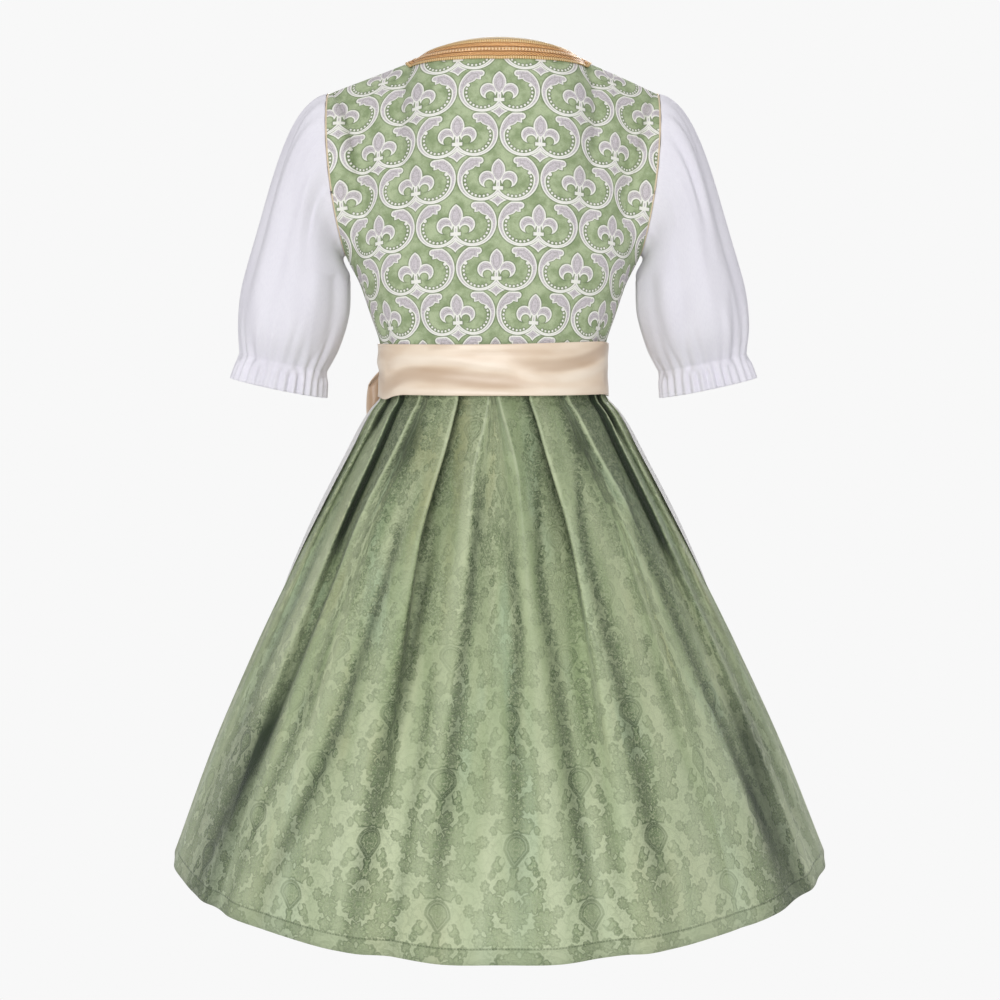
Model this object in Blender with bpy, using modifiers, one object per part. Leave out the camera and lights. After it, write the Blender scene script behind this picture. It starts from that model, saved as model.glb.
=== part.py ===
"""A knee-length dirndl dress, standing hollow as if worn.

Metres, +Z up. The origin is midway between the shoulders, at the height of the seams just outside their middles.
The garment's front faces -Y, its back +Y, and the wearer's left is +X.
Angles round the body run from the centre back (0) over the wearer's left side (90) to the centre front (180).
"""

import math
from collections import namedtuple

import bmesh
import bpy
from mathutils import Vector
from mathutils.bvhtree import BVHTree

# Cloth
CLOTH = 0.0012  # wall of every sewn panel
SEAM_GAP = 0.0004  # between the edges of two panels that are sewn together
LAY_GAP = 0.0007  # between a panel and what lies on it

# Bodice: level sections of the torso, from the waist seam up to where the armholes begin
Section = namedtuple("Section", "height half_width back front")
TORSO = (
    Section(-0.330, 0.1235, 0.0870, -0.0950),
    Section(-0.297, 0.1288, 0.0890, -0.0980),
    Section(-0.265, 0.1393, 0.0935, -0.1060),
    Section(-0.235, 0.1492, 0.0985, -0.1150),
    Section(-0.200, 0.1620, 0.1045, -0.1200),
)
ROUNDNESS = 2.3  # power of the sections' ellipse, where 2 is a plain ellipse
WAIST = -0.330
CHEST = -0.235  # the yokes begin here and run up to the neck, the shoulders and the armholes

NECK_HALF_WIDTH = 0.0835
NECK_SIDE_HEIGHT = 0.0262
NECK_BACK_HEIGHT = 0.036
NECK_BACK_DEPTH = 0.070
NECK_FRONT_HEIGHT = -0.128
NECK_FRONT_DEPTH = -0.119
NECK_SQUARENESS = 2.7
NECK_SCOOP = 2.3  # above 1 the front neckline comes forward soon after the shoulder
SHOULDER_TIP = (0.186, -0.0155)  # x and height of the shoulder seam's outer end

ARMHOLE_SLANT = 1.8  # for the cloth running slantwise up to the piping of the armhole
ARMHOLE_CENTRE = (0.1765, -0.1062)  # x and height
ARMHOLE_HALF_HEIGHT = 0.0907
ARMHOLE_LEAN = 0.0095  # how far the top stands further out than the middle
ARMHOLE_BULGE = 0.0052
ARMHOLE_BACK = 0.056
ARMHOLE_FRONT = -0.052

# Shares of the chest section, in degrees from the centre, that run up to each edge
BACK_SPLIT = (0, 31, 58, 90)  # centre, side of the neck, shoulder tip, underarm
FRONT_SPLIT = (0, 32, 60, 90)
BACK_COLUMNS = (6, 3, 7)  # columns under the neckline, the shoulder seam and the armhole
FRONT_COLUMNS = (8, 3, 7)
BODY_ROWS = 3
YOKE_ROWS = 8
YOKE_CROWDING = 1.35  # above 1 the rows lie closer together towards the upper edge
OVER_RISE = 0.28  # how steeply the cloth still climbs where it reaches the shoulder seam
CORNER_SLANT = 0.7  # how far the cloth slants into the two ends of the shoulder seam

BUST_RISE = 0.020
BUST_PLACE = (0.078, -0.186)  # x and height of the fullest point of each side
BUST_SPREAD = (0.050, 0.048)
DART_DEPTH = 0.0035
DART_WIDTH = 5.5  # degrees
DART_TOP = -0.195
BACK_DARTS = (-66, 0, 66)  # degrees from the centre back, the middle one being the soft hollow of the back

# Trims
BRAID_WIDTH = 0.0225
BRAID_THICKNESS = 0.0013
BRAID_INSET = 0.0008
PIPING_RADIUS = 0.0011
PIPING_SPACE = PIPING_RADIUS + 0.0004  # from a piping's middle to the edge of the cloth beside it
BRAID_STEPS = 38
PIPING_STEPS = 40
CLEARING_ROUNDS = 16
EDGE_PROBE = 0.02  # share of an edge's length over which its direction is taken
SIDE_PROBE = 0.006  # how far from an edge the cloth is looked for on either side

ARMHOLE_GAP = PIPING_SPACE + 0.0006  # from the piping's middle out to the edge of the sleeve

# Sleeves: the ring at the upper arm, the one above the elastic and the elastic itself
ArmRing = namedtuple("ArmRing", "x y height half_width half_depth")
UPPER_ARM = ArmRing(0.2195, 0.002, -0.211, 0.0575, 0.0680)
ARM_RINGS = (
    UPPER_ARM,
    ArmRing(0.2265, 0.000, -0.251, 0.0635, 0.0700),
    ArmRing(0.2350, -0.003, -0.288, 0.0600, 0.0640),
    ArmRing(0.2415, -0.005, -0.3185, 0.0500, 0.0445),
)
ARM_TILT = math.radians(12)
SLEEVE_COLUMNS = 36
CAP_ROWS = 5
LOWER_ROWS = 4
CAP_GATHERS = 18  # all round, fading out below the arm
CAP_GATHER_DEPTH = 0.0020
CUFF_GATHERS = 18
CUFF_GATHER_DEPTH = 0.0020
RUFFLE_GAP = 0.0011
RUFFLE_LENGTH = 0.0285
RUFFLE_FLARE = 0.0050
RUFFLE_WAVE = 0.0032
RUFFLE_COLUMNS = 72
RUFFLE_ROWS = 1

# Skirt: outline at the crests of its pleats, by depth below the waist seam at the sides
Flare = namedtuple("Flare", "depth half_width roundness fold_height fold_lean")
SKIRT = (
    Flare(0.000, 0.1250, 0.715, 0.0034, 0.20),
    Flare(0.027, 0.1288, 0.725, 0.0038, 0.21),
    Flare(0.043, 0.1408, 0.785, 0.0052, 0.23),
    Flare(0.083, 0.1618, 0.840, 0.0072, 0.25),
    Flare(0.140, 0.1920, 0.890, 0.0084, 0.23),
    Flare(0.210, 0.2272, 0.930, 0.0080, 0.16),
    Flare(0.310, 0.2760, 0.960, 0.0066, 0.08),
    Flare(0.430, 0.3305, 0.985, 0.0048, 0.04),
    Flare(0.554, 0.3790, 0.990, 0.0032, 0.02),
)
SKIRT_ROWS = tuple(row.depth for row in SKIRT)
SKIRT_TOP = WAIST - SEAM_GAP
HEM_DIP = 0.034  # how much longer the cloth hangs at the centres than at the sides, as a share

# Fold edges of the pleats of one half: degrees from the centre back at the waist and from halfway down
Pleat = namedtuple("Pleat", "waist hem")
PLEATS = (
    Pleat(2.1, 8.5),
    Pleat(18.7, 22.5),
    Pleat(40.5, 43.0),
    Pleat(57.5, 61.0),
    Pleat(72.0, 76.0),
    Pleat(86.0, 90.0),
    Pleat(104.0, 107.0),
    Pleat(124.0, 126.0),
    Pleat(144.0, 145.0),
    Pleat(163.0, 163.0),
)
PLEAT_OPENS = 0.24  # depth at which the fold edges have fanned out
PLEAT_STATIONS = (0.0, 0.13, 0.26, 0.39, 0.55, 0.75, 0.88)  # shares of one pleat's cloth
SEAM_COUNTS = (2.75, 7.75)  # the seams between the panels, counted in pleats from the centre back

# Apron: how far round its edge reaches from the centre front, by the depth of the skirt below it
Reach = namedtuple("Reach", "depth angle")
APRON_EDGE = (
    Reach(0.028, 80),
    Reach(0.083, 91),
    Reach(0.140, 92),
    Reach(0.210, 87),
    Reach(0.310, 76),
    Reach(0.430, 66),
    Reach(0.534, 60),
)
APRON_ROWS = (0.0285, 0.043, 0.083, 0.140, 0.210, 0.310, 0.430, 0.534)
APRON_LIFT = 0.0026
APRON_GATHERS = 9  # in each half
APRON_GATHER_DEPTH = 0.0015
APRON_FOLD_DEPTH = 0.0028
APRON_FOLDS = 7.0
APRON_COLUMNS = 36

# Sash and bow
SASH_TOP = -0.2968
SASH_BOTTOM = -0.3572
SASH = (
    Section(SASH_TOP, 0.1310, 0.0913, -0.1003),
    Section(-0.327, 0.1302, 0.0924, -0.1004),
    Section(SASH_BOTTOM, 0.1312, 0.0968, -0.1022),
)
SASH_COLUMNS = 48
SASH_ROWS = 2
BOW_ANGLE = 135
KNOT_HALF = (0.0120, 0.0085, 0.0150)  # along the sash, out from it, and upright
KNOT_HEIGHT = -0.329
RIBBON_ROOT = 0.020
RIBBON_WIDTH = 0.050
Loop = namedtuple("Loop", "reach out drop gap")
LOOPS = {
    "bow_loop_side": Loop(0.050, 0.006, 0.034, 0.011),
    "bow_loop_front": Loop(-0.062, 0.014, 0.030, 0.012),
}
LOOP_STEPS = 14
LOOP_LANES = (-1.0, -0.5, 0.0, 0.5, 1.0)
LOOP_START = 0.035  # share of the ribbon that is hidden in the knot at either end
LOOP_CUP = 0.004
Tail = namedtuple("Tail", "angle length lift shift")
TAILS = {
    "bow_tail_front": Tail(145, 0.330, 0.0070, -0.0070),
    "bow_tail_side": Tail(128, 0.290, 0.0085, 0.0070),
}
TAIL_ROOT = 0.012
TAIL_STEPS = 9
TAIL_LANES = (-1, -0.4, 0.4, 1)
TAIL_FALL = 0.90  # height of a tail as a share of its length
TAIL_RIPPLE = 0.0025
TAIL_CUP = 0.002

COLOURS = {
    "jacquard": ((0.46, 0.56, 0.39, 1), 0.62),
    "damask": ((0.40, 0.50, 0.34, 1), 0.50),
    "cotton": ((0.86, 0.86, 0.90, 1), 0.80),
    "satin": ((0.85, 0.74, 0.62, 1), 0.35),
    "braid": ((0.72, 0.42, 0.14, 1), 0.40),
    "piping": ((0.88, 0.80, 0.66, 1), 0.50),
    "apron_cloth": ((0.88, 0.87, 0.84, 1), 0.70),
}


def material(name):
    """The named finish, made once."""
    found = bpy.data.materials.get(name)
    if found:
        return found
    colour, roughness = COLOURS[name]
    found = bpy.data.materials.new(name)
    found.use_nodes = True
    shader = found.node_tree.nodes["Principled BSDF"]
    shader.inputs["Base Color"].default_value = colour
    shader.inputs["Roughness"].default_value = roughness
    shader.inputs["Metallic"].default_value = 0.0
    return found


def mix(a, b, share):
    return a + (b - a) * share


def ease(share):
    share = min(max(share, 0.0), 1.0)
    return share * share * (3 - 2 * share)


def signed_power(value, power):
    return math.copysign(abs(value) ** power, value)


def read(table, column, at):
    """A column of a table at a place between its rows, on a smooth curve. The first column is the place."""
    rows = sorted(table, key=lambda row: row[0])
    places = [row[0] for row in rows]
    values = [getattr(row, column) for row in rows]
    at = min(max(at, places[0]), places[-1])
    i = max(k for k in range(len(rows) - 1) if places[k] <= at or k == 0)
    slopes = [(values[k + 1] - values[k]) / (places[k + 1] - places[k]) for k in range(len(rows) - 1)]

    def tangent(k):
        if k == 0 or k == len(rows) - 1:
            return slopes[min(k, len(slopes) - 1)]
        before, after = slopes[k - 1], slopes[k]
        return 0.0 if before * after <= 0 else 2 * before * after / (before + after)

    width = places[i + 1] - places[i]
    t = (at - places[i]) / width
    return (
        values[i] * (1 + 2 * t) * (1 - t) ** 2
        + tangent(i) * width * t * (1 - t) ** 2
        + values[i + 1] * t * t * (3 - 2 * t)
        + tangent(i + 1) * width * t * t * (t - 1)
    )


def hermite(start, leave, end, arrive, t):
    """A point on the smooth curve from start to end; leave and arrive are its speeds there."""
    return (
        start * ((1 + 2 * t) * (1 - t) ** 2)
        + leave * (t * (1 - t) ** 2)
        + end * (t * t * (3 - 2 * t))
        + arrive * (t * t * (t - 1))
    )


# ---------------------------------------------------------------- making meshes


def sheet_mesh(rows, ring=False):
    """(points, faces) of a sheet given as rows of points; ring joins each row's end to its start."""
    width = len(rows[0])
    points = [tuple(p) for row in rows for p in row]
    faces = []
    for r in range(len(rows) - 1):
        for c in range(width if ring else width - 1):
            d = (c + 1) % width
            near, far = r * width, (r + 1) * width
            faces += [(near + c, near + d, far + d), (near + c, far + d, far + c)]
    return points, faces


def add_object(name, points, faces, finish):
    mesh = bpy.data.meshes.new(name)
    mesh.from_pydata(points, [], faces)
    mesh.validate()
    mesh.shade_smooth()
    mesh.materials.append(material(finish))
    made = bpy.data.objects.new(name, mesh)
    DRESS.objects.link(made)
    return made


def cloth(name, rows, finish, ring=False, thickness=CLOTH):
    """A panel: the sheet through the rows of points, given its wall half to each side."""
    made = add_object(name, *sheet_mesh(rows, ring), finish)
    wall = made.modifiers.new("wall", "SOLIDIFY")
    wall.thickness = thickness
    wall.offset = 0.0
    wall.use_even_offset = False
    return made


def tube(name, line, radius, finish, ring=False):
    """A piping: a round cord of cloth along a line."""
    curve = bpy.data.curves.new(name, "CURVE")
    curve.dimensions = "3D"
    spline = curve.splines.new("POLY")
    spline.points.add(len(line) - 1)
    for point, place in zip(spline.points, line):
        point.co = (*place, 1.0)
    spline.use_cyclic_u = ring
    curve.bevel_depth = radius
    curve.bevel_resolution = 0
    curve.use_fill_caps = not ring
    curve.materials.append(material(finish))
    made = bpy.data.objects.new(name, curve)
    DRESS.objects.link(made)
    return made


# ---------------------------------------------------------------- bodice


def ellipse_point(half_width, back, front, angle, height):
    """A point of a level section; the angle is in degrees from the centre back towards the wearer's left."""
    s, c = math.sin(math.radians(angle)), math.cos(math.radians(angle))
    depth = back if c > 0 else -front
    x = half_width * signed_power(s, 2 / ROUNDNESS)
    return Vector((x, depth * signed_power(c, 2 / ROUNDNESS), height))


def torso(angle, height):
    section = (read(TORSO, column, height) for column in ("half_width", "back", "front"))
    return ellipse_point(*section, angle, height)


def armhole(angle, side=1):
    """A point of the armhole: 0 at the shoulder tip, 90 in the back, 180 under the arm, 270 in front."""
    s, c = math.sin(math.radians(angle)), math.cos(math.radians(angle))
    x = ARMHOLE_CENTRE[0] + ARMHOLE_LEAN * c + ARMHOLE_BULGE * s * s
    y = (ARMHOLE_BACK if s > 0 else -ARMHOLE_FRONT) * s
    return Vector((side * x, y, ARMHOLE_CENTRE[1] + ARMHOLE_HALF_HEIGHT * c))


def neckline(turn, front):
    """(point, the way the cloth runs there): 0 at the centre back, 90 at the shoulder, 180 in front."""
    s, c = math.sin(math.radians(turn)), math.cos(math.radians(turn))
    if not front:
        z = mix(NECK_SIDE_HEIGHT, NECK_BACK_HEIGHT, c * c)
        way = Vector((-CORNER_SLANT * s * s, -0.25 - 0.5 * s * c - 0.35 * s * s, OVER_RISE + 0.72 * c))
        return Vector((NECK_HALF_WIDTH * s, NECK_BACK_DEPTH * c, z)), way
    fall = abs(c) ** (2 / NECK_SQUARENESS)
    x = NECK_HALF_WIDTH * abs(s) ** (2 / NECK_SQUARENESS)
    y = NECK_FRONT_DEPTH * (1 - (1 - fall) ** NECK_SCOOP)
    z = mix(NECK_SIDE_HEIGHT, NECK_FRONT_HEIGHT, fall)
    way = Vector((-CORNER_SLANT * (1 - fall), 0.6 - 0.35 * fall, OVER_RISE + 0.72 * fall))
    return Vector((x, y, z)), way


def top_edge(zone, share, front):
    """(point, direction) of a panel's upper edge. Zones: 0 neckline, 1 shoulder seam, 2 armhole."""
    side = -1.0 if front else 1.0
    if zone == 0:
        return neckline(180 - 90 * share if front else 90 * share, front)
    if zone == 1:
        x = mix(NECK_HALF_WIDTH, SHOULDER_TIP[0], share)
        z = mix(NECK_SIDE_HEIGHT, SHOULDER_TIP[1], share)
        return Vector((x, 0.0, z)), Vector((mix(-CORNER_SLANT, CORNER_SLANT, share), -0.8 * side, OVER_RISE))
    angle = 180 * share
    over = Vector((CORNER_SLANT, -0.8 * side, OVER_RISE))
    outward = Vector((0.62, -side * 0.32, 0.55))
    upward = Vector((0.34, 0.0, 1.0))
    if share < 0.5:
        way = over.lerp(outward, ease(2 * share))
    else:
        way = outward.lerp(upward, ease(2 * share - 1))
    return armhole(360 - angle if front else angle), way


def bust(point):
    """How far the cut of the front stands out at a point."""
    across = (abs(point.x) - BUST_PLACE[0]) / BUST_SPREAD[0]
    up = (point.z - BUST_PLACE[1]) / BUST_SPREAD[1]
    return BUST_RISE * math.exp(-across * across - up * up)


def dart(angle, height, places):
    """How far a stitched dart draws the cloth in: full at the waist, nothing above its point."""
    fade = ease((DART_TOP - height) / (DART_TOP - WAIST))
    return sum(DART_DEPTH * fade * math.exp(-(((angle - place) / DART_WIDTH) ** 2)) for place in places)


def panel_column(zone, share, front):
    """The points of one column of the bodice's left half, from the waist up to its edge."""
    split = FRONT_SPLIT if front else BACK_SPLIT
    along = mix(split[zone], split[zone + 1], share)
    angle = 180 - along if front else along
    column = [torso(angle, mix(WAIST, CHEST, r / BODY_ROWS)) for r in range(BODY_ROWS + 1)]
    start = column[-1]
    rise = (torso(angle, CHEST + 0.01) - start) * 100
    end, way = top_edge(zone, share, front)
    length = (end - start).length
    pull = (mix(0.9, 0.62, share * share), 0.62, mix(0.62, 0.75, share))[zone]
    arrive = way.normalized() * length * pull
    if zone == 2 or (zone == 1 and share == 1):
        end -= way.normalized() * PIPING_SPACE * ARMHOLE_SLANT
    leave = rise.normalized() * length
    for r in range(1, YOKE_ROWS + 1):
        t = 1 - (1 - r / YOKE_ROWS) ** YOKE_CROWDING
        column.append(hermite(start, leave, end, arrive, t))
    for point in column:
        if front:
            point.y -= bust(point)
        else:
            drawn = dart(along, point.z, BACK_DARTS)
            inward = Vector((-point.x, -point.y, 0.0))
            point += inward.normalized() * drawn
    return column


def half_columns(front):
    """The left half's columns, from the centre to the side seam, grouped by the edge they run up to."""
    counts = FRONT_COLUMNS if front else BACK_COLUMNS
    zones = []
    for zone, count in enumerate(counts):
        zones.append([panel_column(zone, (i + 1) / count, front) for i in range(count)])
    zones[0].insert(0, panel_column(0, 0.0, front))
    for column in [zones[0][-1]] + zones[1]:
        column[-1] += (column[-2] - column[-1]).normalized() * SEAM_GAP
    return zones


def mirrored(columns):
    return [[Vector((-p.x, p.y, p.z)) for p in column] for column in columns]


def trimmed(columns, gap):
    """The columns with the sheet's first and last one moved in by half the gap at a seam."""
    moved = [list(column) for column in columns]
    for edge, inner in ((0, 1), (-1, -2)):
        pairs = zip(moved[edge], columns[inner])
        moved[edge] = [point + (toward - point).normalized() * gap / 2 for point, toward in pairs]
    return moved


def bodice():
    """The back and the two fronts. Returns their surface and the line of the left half's neckline."""
    back_zones, front_zones = half_columns(False), half_columns(True)
    back_half, left = sum(back_zones, []), sum(front_zones, [])[::-1]
    panels = {
        "bodice_back": trimmed(mirrored(back_half)[::-1][:-1] + back_half, SEAM_GAP),
        "bodice_front_left": trimmed(left, SEAM_GAP),
        "bodice_front_right": trimmed(mirrored(left)[::-1], SEAM_GAP),
    }
    points, faces = [], []
    for name, columns in panels.items():
        rows = list(zip(*columns))
        cloth(name, rows, "jacquard")
        more_points, more_faces = sheet_mesh(rows)
        faces += [tuple(i + len(points) for i in face) for face in more_faces]
        points += more_points
    neck = [column[-1] for column in front_zones[0] + back_zones[0][-2::-1]]
    return BVHTree.FromPolygons(points, faces), neck


# ---------------------------------------------------------------- trims


def outer_face(surface, guess):
    """(the point of the bodice nearest a guess, the way out of the garment there)."""
    place, normal, _, _ = surface.find_nearest(guess)
    outward = Vector((0.4 * place.x, place.y, 0.12 + max(place.z + 0.1, 0.0)))
    return place, normal if normal.dot(outward) > 0 else -normal


def laid_on(surface, guess, lift):
    """The point of the bodice nearest a guess, lifted off its outer side."""
    place, outward = outer_face(surface, guess)
    return place + outward * lift


def along_line(line, share):
    """A point at a share of a line's length."""
    lengths = [(b - a).length for a, b in zip(line, line[1:])]
    left = min(max(share, 0.0), 1.0) * sum(lengths)
    for start, end, length in zip(line, line[1:], lengths):
        if left <= length:
            return start.lerp(end, left / length)
        left -= length
    return line[-1].copy()


def inset_from(surface, line, share, inset):
    """A point in from an edge of the bodice, at right angles to it; less than nothing is outside."""
    here = along_line(line, share)
    along = (along_line(line, share + EDGE_PROBE) - along_line(line, share - EDGE_PROBE)).normalized()
    inward = along.cross(outer_face(surface, here)[1]).normalized()
    misses = [(surface.find_nearest(here + inward * SIDE_PROBE * sign)[0] - here).length for sign in (1, -1)]
    if misses[1] > misses[0]:
        inward = -inward
    return here + inward * inset


def pushed_clear(surface, rows, lift):
    """The sheet moved out wherever the middle of a face or edge is nearer to the bodice than the lift."""
    for _ in range(CLEARING_ROUNDS):
        for low, high in zip(rows, rows[1:]):
            for c in range(len(low) - 1):
                face = (low[c], low[c + 1], high[c], high[c + 1])
                for corners in (face, (low[c], low[c + 1]), (high[c], high[c + 1]), (low[c], high[c])):
                    middle = sum(corners, Vector()) / len(corners)
                    place, outward = outer_face(surface, middle)
                    short = lift - (middle - place).dot(outward)
                    if short > 0:
                        for corner in corners:
                            corner += outward * short
    return rows


def braid(surface, neck):
    """The flat braid sewn round the neck, from the left front edge round the back to the right one."""
    lift = CLOTH / 2 + LAY_GAP + BRAID_THICKNESS / 2
    rows = []
    for part in (0.0, 0.5, 1.0):
        inset = BRAID_INSET + part * BRAID_WIDTH
        guesses = [inset_from(surface, neck, i / BRAID_STEPS, inset) for i in range(BRAID_STEPS + 1)]
        rows.append([laid_on(surface, guess, lift) for guess in guesses])
    rows = pushed_clear(surface, rows, lift)
    for left in rows:
        left[0].x, left[-1].x = SEAM_GAP, 0.0
        left += [Vector((-p.x, p.y, p.z)) for p in left[-2::-1]]
    cloth("neck_braid", rows, "braid", thickness=BRAID_THICKNESS)


def neck_piping(surface, neck):
    """The thin piping that stands along the neckline's edge, above the braid."""
    clear = PIPING_RADIUS + LAY_GAP
    line = [inset_from(surface, neck, i / PIPING_STEPS, -clear) for i in range(PIPING_STEPS + 1)]
    line[0].x = 5 * SEAM_GAP
    line[-1].x = 0.0
    line += [Vector((-p.x, p.y, p.z)) for p in line[-2::-1]]
    tube("neck_piping", line, PIPING_RADIUS, "piping")


def armhole_piping(side, name):
    """The piping between the bodice and a sleeve, straight from one column of the bodice to the next."""
    shares = [i / BACK_COLUMNS[2] for i in range(BACK_COLUMNS[2])]
    shares += [1 + i / FRONT_COLUMNS[2] for i in range(FRONT_COLUMNS[2])]
    tube(name, [armhole(180 * share, side) for share in shares], PIPING_RADIUS, "piping", ring=True)


# ---------------------------------------------------------------- sleeves


def arm_frame():
    """(outward, backward, downward) of the hanging upper arm on the wearer's left."""
    out = Vector((math.cos(ARM_TILT), 0.0, math.sin(ARM_TILT)))
    down = Vector((math.sin(ARM_TILT), 0.0, -math.cos(ARM_TILT)))
    return out, Vector((0.0, 1.0, 0.0)), down


def arm_point(ring, angle):
    out, back, _ = arm_frame()
    s, c = math.sin(math.radians(angle)), math.cos(math.radians(angle))
    centre = Vector((ring.x, ring.y, ring.height))
    return centre + out * (c * ring.half_width) + back * (s * ring.half_depth)


def sleeve_cap(angle, share):
    """From the armhole over the gathered cap to the upper arm."""
    _, _, down = arm_frame()
    start = armhole(angle) + Vector((ARMHOLE_GAP, 0.0, 0.0))
    end = arm_point(UPPER_ARM, angle)
    length = (end - start).length
    s, c = math.sin(math.radians(angle)), math.cos(math.radians(angle))
    top = (1 + c) / 2
    leave = Vector((1.0, 0.42 * s, -0.16 - 0.3 * (1 - top))).normalized() * length * mix(1.1, 0.62, top)
    arrive = (down + Vector((0.12 * c, 0.0, 0.0))) * length
    point = hermite(start, leave, end, arrive, share)
    full = top**1.2 * math.sin(math.pi * min(share * 1.25 + 0.06, 1.0)) ** 0.7
    wave = math.cos(math.radians(CAP_GATHERS * angle))
    outward = Vector((0.5 + 0.5 * c, s, 0.6 * c)).normalized()
    return point + outward * (CAP_GATHER_DEPTH * full * wave)


def sleeve_lower(angle, share):
    """From the upper arm down to the elastic, where the gathers deepen."""
    place = share * (len(ARM_RINGS) - 1)
    i = min(int(place), len(ARM_RINGS) - 2)
    t = place - i
    here, there = arm_point(ARM_RINGS[i], angle), arm_point(ARM_RINGS[i + 1], angle)
    before = arm_point(ARM_RINGS[i - 1], angle) if i else here * 2 - there
    after = arm_point(ARM_RINGS[i + 2], angle) if i + 2 < len(ARM_RINGS) else there * 2 - here
    point = hermite(here, (there - before) / 2, there, (after - here) / 2, t)
    out, back, _ = arm_frame()
    s, c = math.sin(math.radians(angle)), math.cos(math.radians(angle))
    wave = math.cos(math.radians(CUFF_GATHERS * angle)) * ease((share - 0.45) / 0.5)
    return point + (out * c + back * s) * (CUFF_GATHER_DEPTH * wave)


def on_side(points, side):
    return [Vector((side * p.x, p.y, p.z)) for p in points]


def sleeve(side, name):
    angles = [360 * i / SLEEVE_COLUMNS for i in range(SLEEVE_COLUMNS)]
    rows = [[sleeve_cap(a, r / CAP_ROWS) for a in angles] for r in range(CAP_ROWS + 1)]
    rows += [[sleeve_lower(a, (r + 1) / LOWER_ROWS) for a in angles] for r in range(LOWER_ROWS)]
    cloth(name, [on_side(row, side) for row in rows], "cotton", ring=True)


def ruffle(side, name):
    """The frill below the elastic, with its waves growing to the hem."""
    out, back, down = arm_frame()
    elastic = ARM_RINGS[-1]
    rows = []
    for r in range(RUFFLE_ROWS + 1):
        share = r / RUFFLE_ROWS
        row = []
        for i in range(RUFFLE_COLUMNS):
            angle = 360 * i / RUFFLE_COLUMNS
            s, c = math.sin(math.radians(angle)), math.cos(math.radians(angle))
            wave = math.cos(math.radians(CUFF_GATHERS * angle))
            swell = RUFFLE_FLARE * share**0.8 + mix(CUFF_GATHER_DEPTH, RUFFLE_WAVE, share) * wave
            fall = down * (RUFFLE_GAP + share * RUFFLE_LENGTH)
            row.append(arm_point(elastic, angle) + (out * c + back * s) * swell + fall)
        rows.append(on_side(row, side))
    cloth(name, rows, "cotton", ring=True)


# ---------------------------------------------------------------- skirt and apron


def fold_edge(k, depth):
    """The angle of a pleat's fold edge at a depth below the waist seam."""
    pleat = PLEATS[k]
    return mix(pleat.waist, pleat.hem, ease(depth / PLEAT_OPENS))


def skirt_ellipse(angle, depth, inward):
    """(point, outward direction) of the skirt's level outline, moved in from the crests."""
    half_width = read(SKIRT, "half_width", depth) - inward
    half_depth = read(SKIRT, "half_width", depth) * read(SKIRT, "roundness", depth) - inward
    s, c = math.sin(math.radians(angle)), math.cos(math.radians(angle))
    point = Vector((half_width * s, half_depth * c, SKIRT_TOP - depth * (1 + HEM_DIP * c * c)))
    return point, Vector((s / half_width, c / half_depth, 0.0)).normalized()


def skirt_point(count, depth):
    """A point of the left half's cloth; count runs along the cloth in pleats from the centre back."""
    lean = read(SKIRT, "fold_lean", depth)
    height = read(SKIRT, "fold_height", depth)
    k = math.floor(count)
    last = len(PLEATS) - 1
    share = count - k
    if k < 0:
        width = fold_edge(1, depth) - fold_edge(0, depth)
        base = fold_edge(0, depth) - (fold_edge(0, depth) + 2 * lean * width) * (1 - share) * 2
    elif k == last:
        width = 180 - fold_edge(k, depth)
        base = fold_edge(k, depth) + (width - 2 * lean * width) * share * 2
    else:
        width = fold_edge(k + 1, depth) - fold_edge(k, depth)
        base = fold_edge(k, depth) + width * share
    following = fold_edge(min(k + 2, last), depth) - fold_edge(min(k + 1, last), depth) if k >= 0 else width
    if 0 <= k < last - 1:
        width = mix(width, following, ease(share))
    elif k == last - 1:
        width = mix(width, 180 - fold_edge(last, depth), ease(share))
    turn = 2 * math.pi * count
    angle = base + lean * width * (1 - math.cos(turn))
    wave = math.cos(turn)
    point, outward = skirt_ellipse(angle, depth, height)
    return point + outward * (height * wave)


def skirt_counts():
    """Where the cloth of a half is sampled, from the centre back to the centre front."""
    first = [-0.5 + share for share in (0.0, 0.16, 0.32)]
    counts = first + [k + share for k in range(len(PLEATS)) for share in PLEAT_STATIONS]
    return [count for count in counts if count <= len(PLEATS) - 0.5]


def skirt():
    """Four panels, their seams inside pleats: the back, the two sides and the front."""
    counts = skirt_counts()
    first, second = (counts.index(count) for count in SEAM_COUNTS)
    columns = [[skirt_point(count, depth) for depth in SKIRT_ROWS] for count in counts]
    back, side, front = columns[: first + 1], columns[first : second + 1], columns[second:]
    for centre in (back[0], front[-1]):
        for point in centre:
            point.x = 0.0
    panels = {
        "skirt_back": mirrored(back)[::-1][:-1] + back,
        "skirt_side_left": side,
        "skirt_side_right": mirrored(side)[::-1],
        "skirt_front": front + mirrored(front)[::-1][1:],
    }
    for name, panel in panels.items():
        cloth(name, list(zip(*trimmed(panel, 1.5 * SEAM_GAP))), "damask")


def apron():
    """The apron: gathered under the sash, hanging over the front of the skirt."""
    rows = []
    for depth in APRON_ROWS:
        spread = read(APRON_EDGE, "angle", depth)
        fullness = ease((depth - APRON_ROWS[0]) / 0.20)
        row = []
        for i in range(APRON_COLUMNS + 1):
            across = -1 + 2 * i / APRON_COLUMNS
            gathers = APRON_GATHER_DEPTH * (1 + math.cos(2 * math.pi * APRON_GATHERS * across))
            gathers *= 1 - fullness
            folds = APRON_FOLD_DEPTH * (1 + math.cos(math.pi * (APRON_FOLDS * across + 0.25))) * fullness
            point, outward = skirt_ellipse(180 - across * spread, depth, 0.0)
            row.append(point + outward * (APRON_LIFT + gathers + folds))
        rows.append(row)
    cloth("apron", rows, "apron_cloth")


# ---------------------------------------------------------------- sash and bow


def sash_point(angle, height):
    section = (read(SASH, column, height) for column in ("half_width", "back", "front"))
    return ellipse_point(*section, angle, height)


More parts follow.
